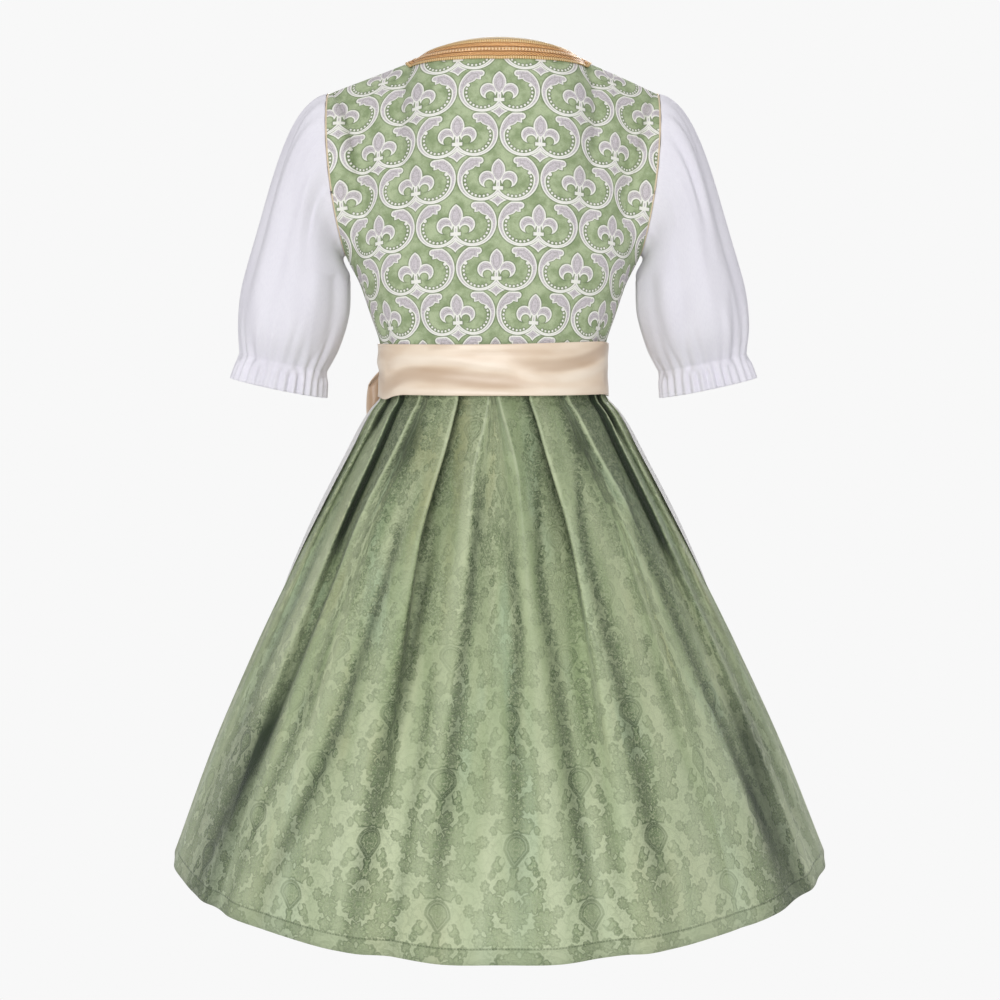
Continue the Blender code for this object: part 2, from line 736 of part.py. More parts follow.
def sash():
    """The satin band: one closed ring round the waist, over the waist seam."""
    heights = [mix(SASH_TOP, SASH_BOTTOM, r / SASH_ROWS) for r in range(SASH_ROWS + 1)]
    angles = [360 * i / SASH_COLUMNS for i in range(SASH_COLUMNS)]
    cloth("sash", [[sash_point(a, z) for a in angles] for z in heights], "satin", ring=True)


def bow_frame():
    """(place on the sash, along it towards the side, outward) where the bow is tied."""
    place = sash_point(BOW_ANGLE, KNOT_HEIGHT)
    along = (sash_point(BOW_ANGLE - 2, KNOT_HEIGHT) - sash_point(BOW_ANGLE + 2, KNOT_HEIGHT)).normalized()
    outward = Vector((-along.y, along.x, 0.0))
    if outward.dot(place) < 0:
        outward = -outward
    return place, along, outward


def knot():
    place, along, outward = bow_frame()
    centre = place + outward * (CLOTH / 2 + LAY_GAP + KNOT_HALF[1])
    shape = bmesh.new()
    bmesh.ops.create_uvsphere(shape, u_segments=14, v_segments=8, radius=1.0)
    for vert in shape.verts:
        a, b, c = (signed_power(value, 0.75) * half for value, half in zip(vert.co, KNOT_HALF))
        vert.co = centre + along * a + outward * b + Vector((0, 0, c))
    if shape.calc_volume(signed=True) < 0:
        bmesh.ops.reverse_faces(shape, faces=shape.faces)
    mesh = bpy.data.meshes.new("bow_knot")
    shape.to_mesh(mesh)
    shape.free()
    mesh.shade_smooth()
    mesh.materials.append(material("satin"))
    DRESS.objects.link(bpy.data.objects.new("bow_knot", mesh))


def bow_loop(name, loop):
    """A ribbon out from the knot and back, with its width upright."""
    place, along, outward = bow_frame()
    sense = math.copysign(1.0, loop.reach)
    root = place + outward * (CLOTH / 2 + KNOT_HALF[1] + 0.001) + along * sense * (KNOT_HALF[0] + 0.0006)
    base = math.sin(math.pi * LOOP_START)
    rows = []
    for lane in LOOP_LANES:
        row = []
        for i in range(LOOP_STEPS + 1):
            t = mix(LOOP_START, 1 - LOOP_START, i / LOOP_STEPS)
            reach = math.sin(math.pi * t)
            swell = math.sin(2 * math.pi * t)
            centre = root + along * (loop.reach * (reach - base))
            centre += outward * (loop.out * reach + loop.gap * swell * 0.5)
            centre.z -= loop.drop * reach**1.4
            width = mix(RIBBON_ROOT, RIBBON_WIDTH, reach**0.7)
            cup = outward * (LOOP_CUP * (1 - lane * lane) * reach * math.copysign(1.0, swell))
            row.append(centre + Vector((0, 0, lane * width / 2)) + cup)
        rows.append(row)
    cloth(name, rows, "satin")


def bow_tail(name, tail):
    """A ribbon hanging from the knot, lying on the apron and widening to its cut end."""
    place, along, outward = bow_frame()
    start = place + outward * (CLOTH / 2 + KNOT_HALF[1]) + along * tail.shift
    start.z = KNOT_HEIGHT - KNOT_HALF[2] - 2 * SEAM_GAP
    rows = []
    for i in range(TAIL_STEPS + 1):
        share = i / TAIL_STEPS
        height = start.z - share * tail.length * TAIL_FALL
        middle, out = skirt_ellipse(tail.angle, SKIRT_TOP - height, 0.0)
        middle.z = height
        middle += out * (APRON_LIFT + 2 * APRON_FOLD_DEPTH + tail.lift)
        middle = start.lerp(middle, ease(share / 0.28))
        across = Vector((out.y, -out.x, 0.0))
        width = mix(TAIL_ROOT, RIBBON_WIDTH, ease(share / 0.4))
        ripple = TAIL_RIPPLE * math.sin(2.2 * math.pi * share)
        row = []
        for lane in TAIL_LANES:
            lift = ripple * lane + TAIL_CUP * (1 - lane * lane)
            row.append(middle + across * (lane * width / 2) + out * lift)
        rows.append(row)
    cloth(name, rows, "satin")


# ---------------------------------------------------------------- the dress

for old in list(bpy.data.objects):
    bpy.data.objects.remove(old)
DRESS = bpy.data.collections.new("dirndl_dress")
bpy.context.scene.collection.children.link(DRESS)

SURFACE, NECK = bodice()
braid(SURFACE, NECK)
neck_piping(SURFACE, NECK)
for sign, hand in ((1, "left"), (-1, "right")):
    armhole_piping(sign, f"armhole_piping_{hand}")
    sleeve(sign, f"sleeve_{hand}")
    ruffle(sign, f"sleeve_ruffle_{hand}")
skirt()
apron()
sash()
knot()
for loop_name, loop_sizes in LOOPS.items():
    bow_loop(loop_name, loop_sizes)
for tail_name, tail_sizes in TAILS.items():
    bow_tail(tail_name, tail_sizes)
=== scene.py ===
import bisect
import math

import bpy
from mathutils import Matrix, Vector
from mathutils.bvhtree import BVHTree
from mathutils.kdtree import KDTree


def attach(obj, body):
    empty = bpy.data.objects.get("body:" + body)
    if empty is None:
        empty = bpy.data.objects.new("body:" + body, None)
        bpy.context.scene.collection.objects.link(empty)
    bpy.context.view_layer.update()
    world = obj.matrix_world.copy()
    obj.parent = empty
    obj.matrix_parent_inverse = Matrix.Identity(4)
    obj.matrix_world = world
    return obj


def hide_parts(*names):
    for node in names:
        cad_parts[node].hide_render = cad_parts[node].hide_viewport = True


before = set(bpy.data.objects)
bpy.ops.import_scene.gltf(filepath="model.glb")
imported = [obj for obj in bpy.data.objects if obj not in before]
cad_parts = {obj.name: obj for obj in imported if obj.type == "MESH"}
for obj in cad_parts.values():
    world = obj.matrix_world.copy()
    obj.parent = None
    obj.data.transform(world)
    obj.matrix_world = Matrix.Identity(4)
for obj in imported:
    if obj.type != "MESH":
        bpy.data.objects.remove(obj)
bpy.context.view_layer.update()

# Metres, +Z up. The origin is midway between the shoulders, the front faces -Y, the wearer's left is +X.
# Angles round the body run from the centre back (0) over the wearer's left (90) to the centre front (180).
upright = Vector((0.0, 0.0, 1.0))


def blend(a, b, share):
    return a + (b - a) * share


def ease(share):
    share = min(max(share, 0.0), 1.0)
    return share * share * (3 - 2 * share)


def bell(distance, width):
    return math.exp(-((distance / width) ** 2))


def signedPower(value, power):
    return math.copysign(abs(value) ** power, value)


def sinOf(degrees):
    return math.sin(math.radians(degrees))


def cosOf(degrees):
    return math.cos(math.radians(degrees))


def sinCos(degrees):
    return sinOf(degrees), cosOf(degrees)


def hermite(start, leave, end, arrive, t):
    return (
        start * ((1 + 2 * t) * (1 - t) ** 2)
        + leave * (t * (1 - t) ** 2)
        + end * (t * t * (3 - 2 * t))
        + arrive * (t * t * (t - 1))
    )


def smoothCurve(places, values):  # a smooth curve through the values, with no overshoot
    slopes = [(b - a) / (q - p) for a, b, p, q in zip(values, values[1:], places, places[1:])]
    tangents = [slopes[0]]
    for before, after in zip(slopes, slopes[1:]):
        tangents.append(0.0 if before * after <= 0 else 2 * before * after / (before + after))
    tangents.append(slopes[-1])

    def read(at):
        at = min(max(at, places[0]), places[-1])
        i = 0
        while i < len(places) - 2 and places[i + 1] <= at:
            i += 1
        width = places[i + 1] - places[i]
        t = (at - places[i]) / width
        return hermite(values[i], tangents[i] * width, values[i + 1], tangents[i + 1] * width, t)

    return read


def curvesOf(table):  # the first column is the place, the others are read by their number
    rows = sorted(table)
    places = [row[0] for row in rows]
    return [smoothCurve(places, [row[c] for row in rows]) for c in range(1, len(rows[0]))]


def pathsOf(table):  # the last entry of each row is its path, as pairs of place and value
    return [smoothCurve(*zip(*row[-1])) for row in table]


def mirrored(columns):
    return [[Vector((-p.x, p.y, p.z)) for p in column] for column in columns]


def lengthsAlong(points):  # distance from the first point to each
    total, found = 0.0, [0.0]
    for a, b in zip(points, points[1:]):
        total += (b - a).length
        found.append(total)
    return found


def meshPiece(name, slot, points, faces, corners, uvs, wall=0.0):  # corners are places in the rows of uvs
    mesh = bpy.data.meshes.new(name)
    mesh.from_pydata([tuple(p) for p in points], [], faces)
    layer = mesh.uv_layers.new(name="cloth")
    layer.data.foreach_set("uv", [n for corner in corners for r, c in corner for n in uvs[r][c]])
    mesh.update()
    mesh.shade_smooth()
    mesh.materials.append(finishes[slot])
    piece = bpy.data.objects.new(name, mesh)
    bpy.context.scene.collection.objects.link(piece)
    if wall:
        solid = piece.modifiers.new("wall", "SOLIDIFY")
        solid.thickness = wall
        solid.offset = 0.0
        solid.use_even_offset = False
    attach(piece, "root")
    return piece


def addSheet(name, slot, rows, uvs, wall, ring=False, around=(0.0, 0.0)):
    # rows of points and rows of (u, v) in metres; a ring's uv rows hold one more place, where it closes;
    # the outer side faces away from the upright line at around
    width = len(rows[0])
    faces, corners = [], []
    for r in range(len(rows) - 1):
        for c in range(width if ring else width - 1):
            d = (c + 1) % width
            faces.append((r * width + c, r * width + d, (r + 1) * width + d, (r + 1) * width + c))
            corners.append(((r, c), (r, c + 1), (r + 1, c + 1), (r + 1, c)))
    points = [p for row in rows for p in row]
    outward = 0.0
    for face in faces[:: max(len(faces) // 400, 1)]:
        a, b, c, d = (points[i] for i in face)
        centre = (a + b + c + d) / 4
        outward += (c - a).cross(d - b).dot(Vector((centre.x - around[0], centre.y - around[1], 0.0)))
    if outward < 0:
        faces = [face[::-1] for face in faces]
        corners = [corner[::-1] for corner in corners]
    return meshPiece(name, slot, points, faces, corners, uvs, wall)


def addTube(name, slot, line, radius, ring=False, sides=8):  # a round cord of cloth along a line
    count = len(line)
    rows, uvs = [], []
    travelled = 0.0
    for i, place in enumerate(line):
        before = line[(i - 1) % count] if ring or i else place
        after = line[(i + 1) % count] if ring or i < count - 1 else place
        along = (after - before).normalized()
        side = along.cross(upright)
        side = (side if side.length > 0.2 else along.cross(Vector((0.0, 1.0, 0.0)))).normalized()
        up = side.cross(along)
        if i:
            travelled += (place - line[i - 1]).length
        turn = [2 * math.pi * k / sides for k in range(sides)]
        rows.append([place + side * (radius * math.cos(a)) + up * (radius * math.sin(a)) for a in turn])
        uvs.append([(travelled, 2 * math.pi * radius * k / sides) for k in range(sides + 1)])
    if ring:
        rows.append(rows[0])
        uvs.append([(travelled + (line[0] - line[-1]).length, v) for _, v in uvs[0]])
    points = [p for row in rows[: count if ring else len(rows)] for p in row]
    faces, corners = [], []
    for r in range(len(rows) - 1):
        for c in range(sides):
            d, s = (c + 1) % sides, (r + 1) % count
            faces.append((r * sides + c, r * sides + d, s * sides + d, s * sides + c)[::-1])
            corners.append(((r, c), (r, c + 1), (r + 1, c + 1), (r + 1, c))[::-1])
    if not ring:
        faces += [tuple(range(sides)), tuple(range(len(points) - sides, len(points)))[::-1]]
        corners += [tuple((0, c) for c in range(sides)), tuple((count - 1, c) for c in range(sides))[::-1]]
    return meshPiece(name, slot, points, faces, corners, uvs)


def giveValues(piece, name, values):  # a number at each point, which the finish reads
    piece.data.attributes.new(name, "FLOAT", "POINT").data.foreach_set("value", values)


class Wire:  # a number running through a finish's nodes
    def __init__(self, tree, socket):
        self.tree = tree
        self.socket = socket

    def op(self, operation, *others):
        node = addNode(self.tree, "Math", dict(enumerate((self, *others))), operation=operation)
        return Wire(self.tree, node.outputs[0])

    def __add__(self, other):
        return self.op("ADD", other)

    def __sub__(self, other):
        return self.op("SUBTRACT", other)

    def __rsub__(self, other):
        return -self + other

    def __mul__(self, other):
        return self.op("MULTIPLY", other)

    def __truediv__(self, other):
        return self.op("DIVIDE", other)

    def __neg__(self):
        return self.op("MULTIPLY", -1.0)

    def __abs__(self):
        return self.op("ABSOLUTE")

    def least(self, other):
        return self.op("MINIMUM", other)

    def most(self, other):
        return self.op("MAXIMUM", other)

    def away(self, other):  # length of the two sides at right angles
        return (self * self + other * other).op("SQRT")

    def rise(self, low, high):  # 0 below low, 1 above high
        ends = {"Value": self, "From Min": low, "From Max": high}
        node = addNode(self.tree, "MapRange", ends, interpolation_type="SMOOTHSTEP")
        return Wire(self.tree, node.outputs["Result"])

    def fall(self, low, high):  # 1 below low, 0 above high
        return 1.0 - self.rise(low, high)

    def clamped(self):
        return self.most(0.0).least(1.0)

    def cos(self):
        return self.op("COSINE")

    def sin(self):
        return self.op("SINE")

    def wave(self, pitch, kind="SINE"):  # from 0 to 1 and back once in a pitch
        return (self * (2 * math.pi / pitch)).op(kind) * 0.5 + 0.5


def feed(tree, value, socket):  # value: a wire, another node's socket, a number or a colour
    source = value.socket if isinstance(value, Wire) else value
    if isinstance(source, bpy.types.NodeSocket):
        tree.links.new(source, socket)
    else:
        socket.default_value = source


def addNode(tree, kind, values, **settings):  # values go to the inputs of those names or numbers
    node = tree.nodes.new("ShaderNode" + kind)
    for name, setting in settings.items():
        setattr(node, name, setting)
    for name, value in values.items():
        feed(tree, value, node.inputs[name])
    return node


def paint(red, green, blue):  # a colour as seen on a screen, 0 to 255
    def linear(value):
        value /= 255
        return value / 12.92 if value <= 0.04045 else ((value + 0.055) / 1.055) ** 2.4

    return linear(red), linear(green), linear(blue), 1.0


def newFinish(name):
    finish = bpy.data.materials.new(name)
    finish.use_nodes = True
    tree = finish.node_tree
    return finish, tree, tree.nodes["Principled BSDF"]


def coat(tree, shader, colour, rough, sheen=0.0, sheenRough=0.5):
    values = {"Base Color": colour, "Roughness": rough, "Sheen Weight": sheen, "Sheen Roughness": sheenRough}
    for name, value in values.items():
        feed(tree, value, shader.inputs[name])


def clothUv(tree):  # (uv, u, v) in metres of cloth
    uv = addNode(tree, "UVMap", {}, uv_map="cloth").outputs[0]
    split = addNode(tree, "SeparateXYZ", {0: uv}).outputs
    return uv, Wire(tree, split[0]), Wire(tree, split[1])


def vectorOf(tree, x, y, z=0.0):
    return addNode(tree, "CombineXYZ", {0: x, 1: y, 2: z}).outputs[0]


def noise(tree, vector, scale, detail, roughness, distortion=0.0):
    values = {"Vector": vector, "Scale": scale, "Detail": detail}
    values |= {"Roughness": roughness, "Distortion": distortion}
    return Wire(tree, addNode(tree, "TexNoise", values).outputs["Fac"])


def mixPaint(tree, share, a, b):
    return addNode(tree, "Mix", {0: share, 6: a, 7: b}, data_type="RGBA").outputs[2]


def readValue(tree, name):
    return Wire(tree, addNode(tree, "Attribute", {}, attribute_name=name).outputs["Fac"])


def relief(tree, shader, height, distance):  # height runs from 0 to 1, distance is in metres
    bump = addNode(tree, "Bump", {"Height": height, "Distance": distance})
    tree.links.new(bump.outputs[0], shader.inputs["Normal"])


def threads(u, v, pitch):  # a plain weave: over and under, from 0 to 1
    turn = 2 * math.pi / pitch
    return (u * turn).sin() * (v * turn).sin() * 0.5 + 0.5


jacquard = {
    "columnSpacing": 0.0902,  # from lily to lily, metres
    "rowSpacing": 0.0487,
    "firstRowTop": 0.0063,  # height of the top of the upper row's cells
    "halfColumn": 47.0,  # the motif's own scale from here on, in its millimetres
    "rowStep": 51.5,
    "petal": (16.1, 13.6, 8.0),  # height of its middle, half height, half width
    "sideOuter": (12.4, 26.4, 9.5),  # circle that bounds a side petal: across, down, radius
    "sideInner": (10.3, 32.3, 5.3),
    "sideEnd": 36.0,
    "bar": (36.6, 5.9, 2.0),
    "stem": (2.3, 28.5),
    "scrollOuter": (19.5, 24.5, 26.8),
    "scrollInner": (19.2, 27.0, 20.9),
    "scrollTop": 0.7,
    "scrollFoot": 30.0,  # below this height the scroll closes over the middle
    "leaf": (4.4, 2.8, 5.5),  # how much thicker the scroll is above, how deep its lobes are, their number
    "knob": (20.8, 4.9, 4.0),
    "beadCentre": (19.2, 27.6),
    "beads": (18.3, 14.3, 1.35, 0.7),  # radius of their row, degrees apart, radius, more for the first
    "beadEnds": (-2.0, 8.0),
    "diamond": (50.3, 10.6, 7.6),
    "line": 1.75,  # width of the pale outline
    "ground": (paint(146, 164, 120), paint(188, 202, 162)),
    # the dark of the grain, and the painted shadow beside the raised outlines
    "shade": paint(92, 108, 76),
    "filling": (paint(194, 187, 190), paint(222, 214, 219)),
    "vein": paint(148, 146, 138),
    "outline": paint(248, 247, 239),
}


def circleAway(x, y, circle):
    return (x - circle[0]).away(y - circle[1]) - circle[2]


def fleurMasks(u, v):
    # the folk lily in a beaded horseshoe over a diamond: (outline, filling, veins, painted shadow beside the
    # outlines)
    j = jacquard
    down = (j["firstRowTop"] - v) / j["rowSpacing"]
    row = down.op("FLOOR")
    y = (down - row) * j["rowStep"]
    across = u / j["columnSpacing"] + row * 0.5
    x = abs(across - across.op("ROUND")) * (2 * j["halfColumn"])
    middle, high, wide = j["petal"]
    radius = (high * high + wide * wide) / (2 * wide)
    petal = (x + (radius - wide)).away(y - middle) - radius
    sidePetal = circleAway(x, y, j["sideOuter"]).most(-circleAway(x, y, j["sideInner"]))
    sidePetal = sidePetal.most(y - j["sideEnd"])
    stemWide, stemTop = j["stem"]
    stem = (x - stemWide).most(stemTop - y).most(y - j["sideEnd"])
    barAt, barWide, barHigh = j["bar"]
    bar = (x - barWide).most(abs(y - barAt) - barHigh)
    inner = j["scrollInner"]
    thicker, lobe, lobes = j["leaf"]
    turn = (y - inner[1]).op("ARCTAN2", x - inner[0])
    upper = y.fall(9.0, 24.0)
    leaf = (abs((turn * lobes).sin()) * lobe + thicker) * upper
    scroll = circleAway(x, y, j["scrollOuter"]).most(-(circleAway(x, y, inner) + leaf))
    scroll = scroll.most((j["knob"][0] - x).least(j["scrollFoot"] - y)).most(j["scrollTop"] - y)
    scroll = scroll.least(circleAway(x, y, j["knob"]))
    beadRow, apart, beadRadius, firstMore = j["beads"]
    first, last = j["beadEnds"]
    centre = j["beadCentre"]
    beadTurn = (y - centre[1]).op("ARCTAN2", x - centre[0])
    place = (beadTurn * (180 / math.pi / apart)).op("ROUND").most(first).least(last)
    offset = (beadTurn - place * math.radians(apart)) * beadRow
    bead = offset.away((x - centre[0]).away(y - centre[1]) - beadRow) - beadRadius
    bead = bead - place.fall(first + 0.1, first + 0.9) * firstMore
    low, halfWide, halfHigh = j["diamond"]
    nearX, nearY = x / halfWide, abs(y - low) / halfHigh
    farX = (j["halfColumn"] - x) / halfWide
    farY = abs(y - (low - j["rowStep"])) / halfHigh
    diamond = (nearX + nearY + nearX * nearY).least(farX + farY + farX * farY)
    diamond = (diamond - 1.0) * 5.0
    shapes = petal.least(sidePetal).least(stem).least(scroll).least(diamond)
    solid = bar.least(bead)
    line = j["line"]
    outline = shapes.fall(-0.2, 0.2) * shapes.rise(-line - 0.2, -line + 0.2)
    outline = outline.most(solid.fall(-0.2, 0.2))
    filling = shapes.fall(-line - 0.2, -line + 0.2)
    veins = abs(shapes + 4.1).fall(0.1, 0.55) * shapes.fall(-3.0, -2.5)
    shade = shapes.least(solid).fall(0.2, 1.9)
    return outline, filling, veins, shade


def jacquardFinish():
    finish, tree, shader = newFinish("jacquard")
    uv, u, v = clothUv(tree)
    outline, filling, veins, shade = fleurMasks(u, v)
    j = jacquard
    cloud = noise(tree, uv, 62.0, 4.0, 0.65).rise(0.34, 0.64)
    grain = noise(tree, uv, 1100.0, 3.0, 0.75)
    ground = mixPaint(tree, cloud, *j["ground"])
    ground = mixPaint(tree, grain.rise(0.42, 0.75) * 0.4, ground, j["shade"])
    # painted shadow beside the raised outlines
    ground = mixPaint(tree, shade * 0.62, ground, j["shade"])
    fill = mixPaint(tree, noise(tree, uv, 520.0, 3.0, 0.7).rise(0.35, 0.68), *j["filling"])
    fill = mixPaint(tree, veins * 0.55, fill, j["vein"])
    body = mixPaint(tree, filling, ground, fill)
    body = mixPaint(tree, outline * (grain * 0.25 + 0.85), body, j["outline"])
    coat(tree, shader, body, 0.6, 0.1, 0.4)
    weave = threads(u, v, 0.0007) * 0.25 + grain * 0.35
    relief(tree, shader, outline * 0.7 + filling * 0.35 - veins * 0.2 + weave, 0.0006)
    return finish


damask = {
    "across": 0.168,  # between drops of one row, metres
    "down": 0.131,
    "shiftAcross": 0.0165,
    "wide": 84.0,  # half of the repeat in the motif's own millimetres, like the sizes below
    "high": 65.5,
    "ground": (paint(156, 173, 128), paint(194, 204, 164)),
    "tints": (paint(166, 166, 116), paint(172, 194, 162)),
    "figure": (paint(109, 129, 86), paint(140, 160, 115)),
    "contour": paint(70, 90, 53),
    # painted shade for the pleat valleys and soft folds
    "fold": paint(33, 49, 22),
    # painted highlight for the fold edges, also the painted light towards the hem
    "edge": paint(208, 218, 184),
    # lobed flowers that make up the body between two drops: across, up, radius, lobes
    "blooms": (
        (0, 5, 16, 12), (21, 18, 11, 9), (33, -1, 12, 9), (20, -18, 11, 9), (0, -24, 12, 10),
        (10, 32, 7.5, 7), (48, 8, 6.5, 7), (37, -21, 7.5, 7), (9, -41, 8, 7), (29, 33, 5.5, 7),
    ),
    "drop": (10.5, 0.62),  # radius, and how much flatter it is below
    "flanks": (0.85, 0.72, 9.3),  # slant across and down, reach
    "halo": (2.8, 0.6),  # round the drop: distance, half width
    "fan": (10.0, 10.0, 4.0, 19.0, 15.0, 7.0),  # height of its middle, lobes, their depth, reach, foot, heart
    "stem": (3.2, -26.0, 9.0),  # half width, height of its middle, half height
    "curls": ((17, -13, 6), (22, -21, 3.5), (17, 25, 5), (24, 19, 4)),
    "holes": ((14, -10.5, 3.6), (14, 28, 3)),
    "hemStitch": 0.0155,  # metres up from the hem
    "stitchLength": 0.0032,
}


def halfDrop(a, b):  # (across, up) from the nearest point of a half-drop grid, in the motif's millimetres
    d = damask
    nearA = abs(a - a.op("ROUND"))
    nearB = b - b.op("ROUND")
    other = (nearA + abs(nearB)).op("GREATER_THAN", 0.5)
    x = (nearA + other * (0.5 - nearA * 2.0)) * (2 * d["wide"])
    return x, (nearB - other * nearB.op("SIGN") * 0.5) * (-2 * d["high"])


def nearestOf(x, y, circles):
    found = circleAway(x, y, circles[0])
    for circle in circles[1:]:
        found = found.least(circleAway(x, y, circle))
    return found


def bloomMasks(x, y, bloom):  # (distance outside its lobed edge, lines round it and between its lobes)
    across, up, radius, lobes = bloom
    x, y = x - across, y - up
    reach = x.away(y)
    lobe = abs((y.op("ARCTAN2", x) * (lobes / 2)).cos())
    shape = reach - (lobe * 0.30 + 0.72) * radius
    petals = lobe.fall(0.16, 0.45) * reach.rise(0.30 * radius, 0.48 * radius) * shape.fall(-0.6, 0.4)
    heart = abs(reach - 0.30 * radius).fall(0.4, 1.1)
    return shape, petals.most(heart).most(abs(shape).fall(0.4, 1.2))


def damaskMasks(tree, u, v):
    # drops with a fan above and curls below stand between bouquets: (figure, contour lines, fine lines)
    d = damask
    drift = noise(tree, vectorOf(tree, u, v), 13.0, 1.0, 0.5) - 0.5
    a = (u + drift * 0.022 + d["shiftAcross"]) / d["across"]
    b = (drift * 0.014 - v) / d["down"]
    x, y = halfDrop(a, b)
    farX, farY = halfDrop(a, b + 0.5)
    cell = vectorOf(tree, x * 0.01, y * 0.01)  # every cell has the same leaves, mirrored about its middle
    far = vectorOf(tree, farX * 0.01, farY * 0.01)
    wobble = noise(tree, cell, 17.0, 2.0, 0.5) - 0.5
    scallops = noise(tree, far, 16.0, 2.0, 0.5) - 0.5
    below = y.least(0.0)
    radius, stretch = d["drop"]
    flankX, flankY, flank = d["flanks"]
    drop = x.away(y.most(0.0) + below * stretch) - radius
    drop = drop.most(x * flankX - below * flankY - flank)
    haloAt, haloWide = d["halo"]
    halo = abs(drop - haloAt) - haloWide
    fanAt, lobes, deep, tall, foot, heart = d["fan"]
    turn = (y - fanAt).op("ARCTAN2", x)
    reach = x.away(y - fanAt)
    fan = (reach - ((turn * lobes).cos() * deep + tall)).most(foot - y).most(heart - reach)
    curls = nearestOf(x, y, d["curls"]).most(-nearestOf(x, y, d["holes"])) + wobble * 7.0
    stemWide, stemAt, stemHigh = d["stem"]
    stem = (x - stemWide).most(abs(y - stemAt) - stemHigh) + wobble * 5.0
    farX, farY = farX + scallops * 6.0, farY + wobble * 6.0
    body, lines = bloomMasks(farX, farY, d["blooms"][0])
    for bloom in d["blooms"][1:]:
        shape, more = bloomMasks(farX, farY, bloom)
        body, lines = body.least(shape), lines.most(more)
    shapes = drop.least(halo).least(fan + wobble * 4.0).least(curls).least(stem).least(body)
    inside = shapes.fall(-0.7, 0.7)
    leaves = (abs(noise(tree, cell, 8.0, 1.5, 0.5, 0.6) - 0.5) - 0.05) * 60.0  # faint ones on the ground
    figure = inside * (1.0 - lines * body.fall(-1.0, 0.0) * 0.75)
    figure = figure.most(leaves.fall(-0.8, 0.8) * shapes.rise(2.0, 3.5) * 0.25)
    contour = abs(shapes).fall(0.5, 1.4).most(abs(leaves).fall(0.5, 1.6) * shapes.rise(2.0, 3.5) * 0.4)
    fine = (noise(tree, cell, 42.0, 2.0, 0.6) - 0.5).rise(0.01, 0.07) * (inside * 0.75 + 0.25)
    fine = fine.most(lines * inside * 0.8)
    return figure, contour, fine


def damaskFinish():
    finish, tree, shader = newFinish("damask")
    uv, u, v = clothUv(tree)
    figure, contour, fine = damaskMasks(tree, u, v)
    d = damask
    fold = readValue(tree, "paintedFoldShading")
    shaded = fold.clamped()
    streak = noise(tree, vectorOf(tree, u, v * 0.10), 30.0, 2.0, 0.5).rise(0.36, 0.62)
    streak = streak * (noise(tree, uv, 9.0, 2.0, 0.5).rise(0.34, 0.56) * 0.7 + 0.3)
    # the figure shows most strongly in the painted shade of the folds
    strength = (streak * 0.55 + shaded * 2.2).least(1.0)
    grain = noise(tree, uv, 700.0, 3.0, 0.7)
    warm = noise(tree, vectorOf(tree, u, v * 0.25), 17.0, 2.0, 0.5)
    cloud = noise(tree, vectorOf(tree, u, v * 0.16), 22.0, 3.0, 0.55)
    ground = mixPaint(tree, cloud.rise(0.3, 0.7), *d["ground"])
    ground = mixPaint(tree, warm.rise(0.55, 0.72) * 0.5, ground, d["tints"][0])
    ground = mixPaint(tree, warm.fall(0.32, 0.46) * 0.5, ground, d["tints"][1])
    toHem = readValue(tree, "toHem")
    low = toHem.fall(0.14, 0.40)
    # painted light: the ground grows paler towards the hem
    ground = mixPaint(tree, toHem.fall(0.03, 0.30) * 0.45, ground, d["edge"])
    worked = mixPaint(tree, noise(tree, uv, 300.0, 3.0, 0.65).rise(0.4, 0.62), *d["figure"])
    body = mixPaint(tree, figure * (strength * 0.66 + low * 0.12 + 0.10), ground, worked)
    body = mixPaint(tree, contour * (strength * 0.55 + low * 0.12 + 0.08), body, d["contour"])
    body = mixPaint(tree, fine * figure * (strength * 0.75 + 0.15), body, d["ground"][1])
    body = mixPaint(tree, fine * (1.0 - figure) * (strength * 0.6 + 0.12), body, d["contour"])
    winding = abs(noise(tree, uv, 105.0, 2.0, 0.6, 0.6) - 0.5)  # thin threads that wander, fewer by the hem
    wandering = (strength * 0.42 + 0.05) * (figure * 0.4 + 0.6) * (1.0 - low * 0.8)
    body = mixPaint(tree, winding.fall(0.010, 0.055) * wandering, body, d["ground"][1])
    edge = winding.rise(0.045, 0.09) * winding.fall(0.10, 0.17)
    body = mixPaint(tree, edge * wandering, body, d["contour"])
    stitch = abs(toHem - d["hemStitch"]).fall(0.0003, 0.0011)
    dash = (u * (2 * math.pi / d["stitchLength"])).sin().rise(-1.2, -0.2)
    body = mixPaint(tree, stitch * dash * 0.5, body, d["contour"])
    body = mixPaint(tree, (toHem - d["hemStitch"]).fall(-0.001, 0.001) * 0.16, body, d["contour"])
    # painted shade where the fold value is above zero, painted highlight along the fold edges where it is
    # below
    body = mixPaint(tree, shaded, body, d["fold"])
    body = mixPaint(tree, (-fold).clamped(), body, d["edge"])
    coat(tree, shader, body, figure * 0.16 + 0.42, 0.15, 0.35)
    weave = grain * 0.3 + threads(u, v, 0.0006) * 0.2
    relief(tree, shader, figure * 0.4 - contour * 0.4 - fine * 0.5 + weave - stitch * 1.2, 0.0006)
    return finish


def cottonFinish(name, pale, shade, roughness):
    finish, tree, shader = newFinish(name)
    uv, u, v = clothUv(tree)
    slub = noise(tree, vectorOf(tree, u * 9.0, v), 160.0, 3.0, 0.6)
    cloud = noise(tree, uv, 9.0, 2.0, 0.5)
    body = mixPaint(tree, slub.rise(0.35, 0.75) * 0.45 + cloud.rise(0.35, 0.7) * 0.4, pale, shade)
    coat(tree, shader, body, roughness, 0.15)
    height = threads(u, v, 0.0006) * 0.4 + slub * 0.5 - readValue(tree, "stitching") * 2.0
    relief(tree, shader, height, 0.0003)
    return finish


satin = {
    "cloth": (paint(226, 204, 179), paint(238, 220, 198)),
    # painted shade and painted highlight for the satin's swaths and folds
    "shade": paint(168, 134, 102),
    "light": paint(255, 246, 232),
}


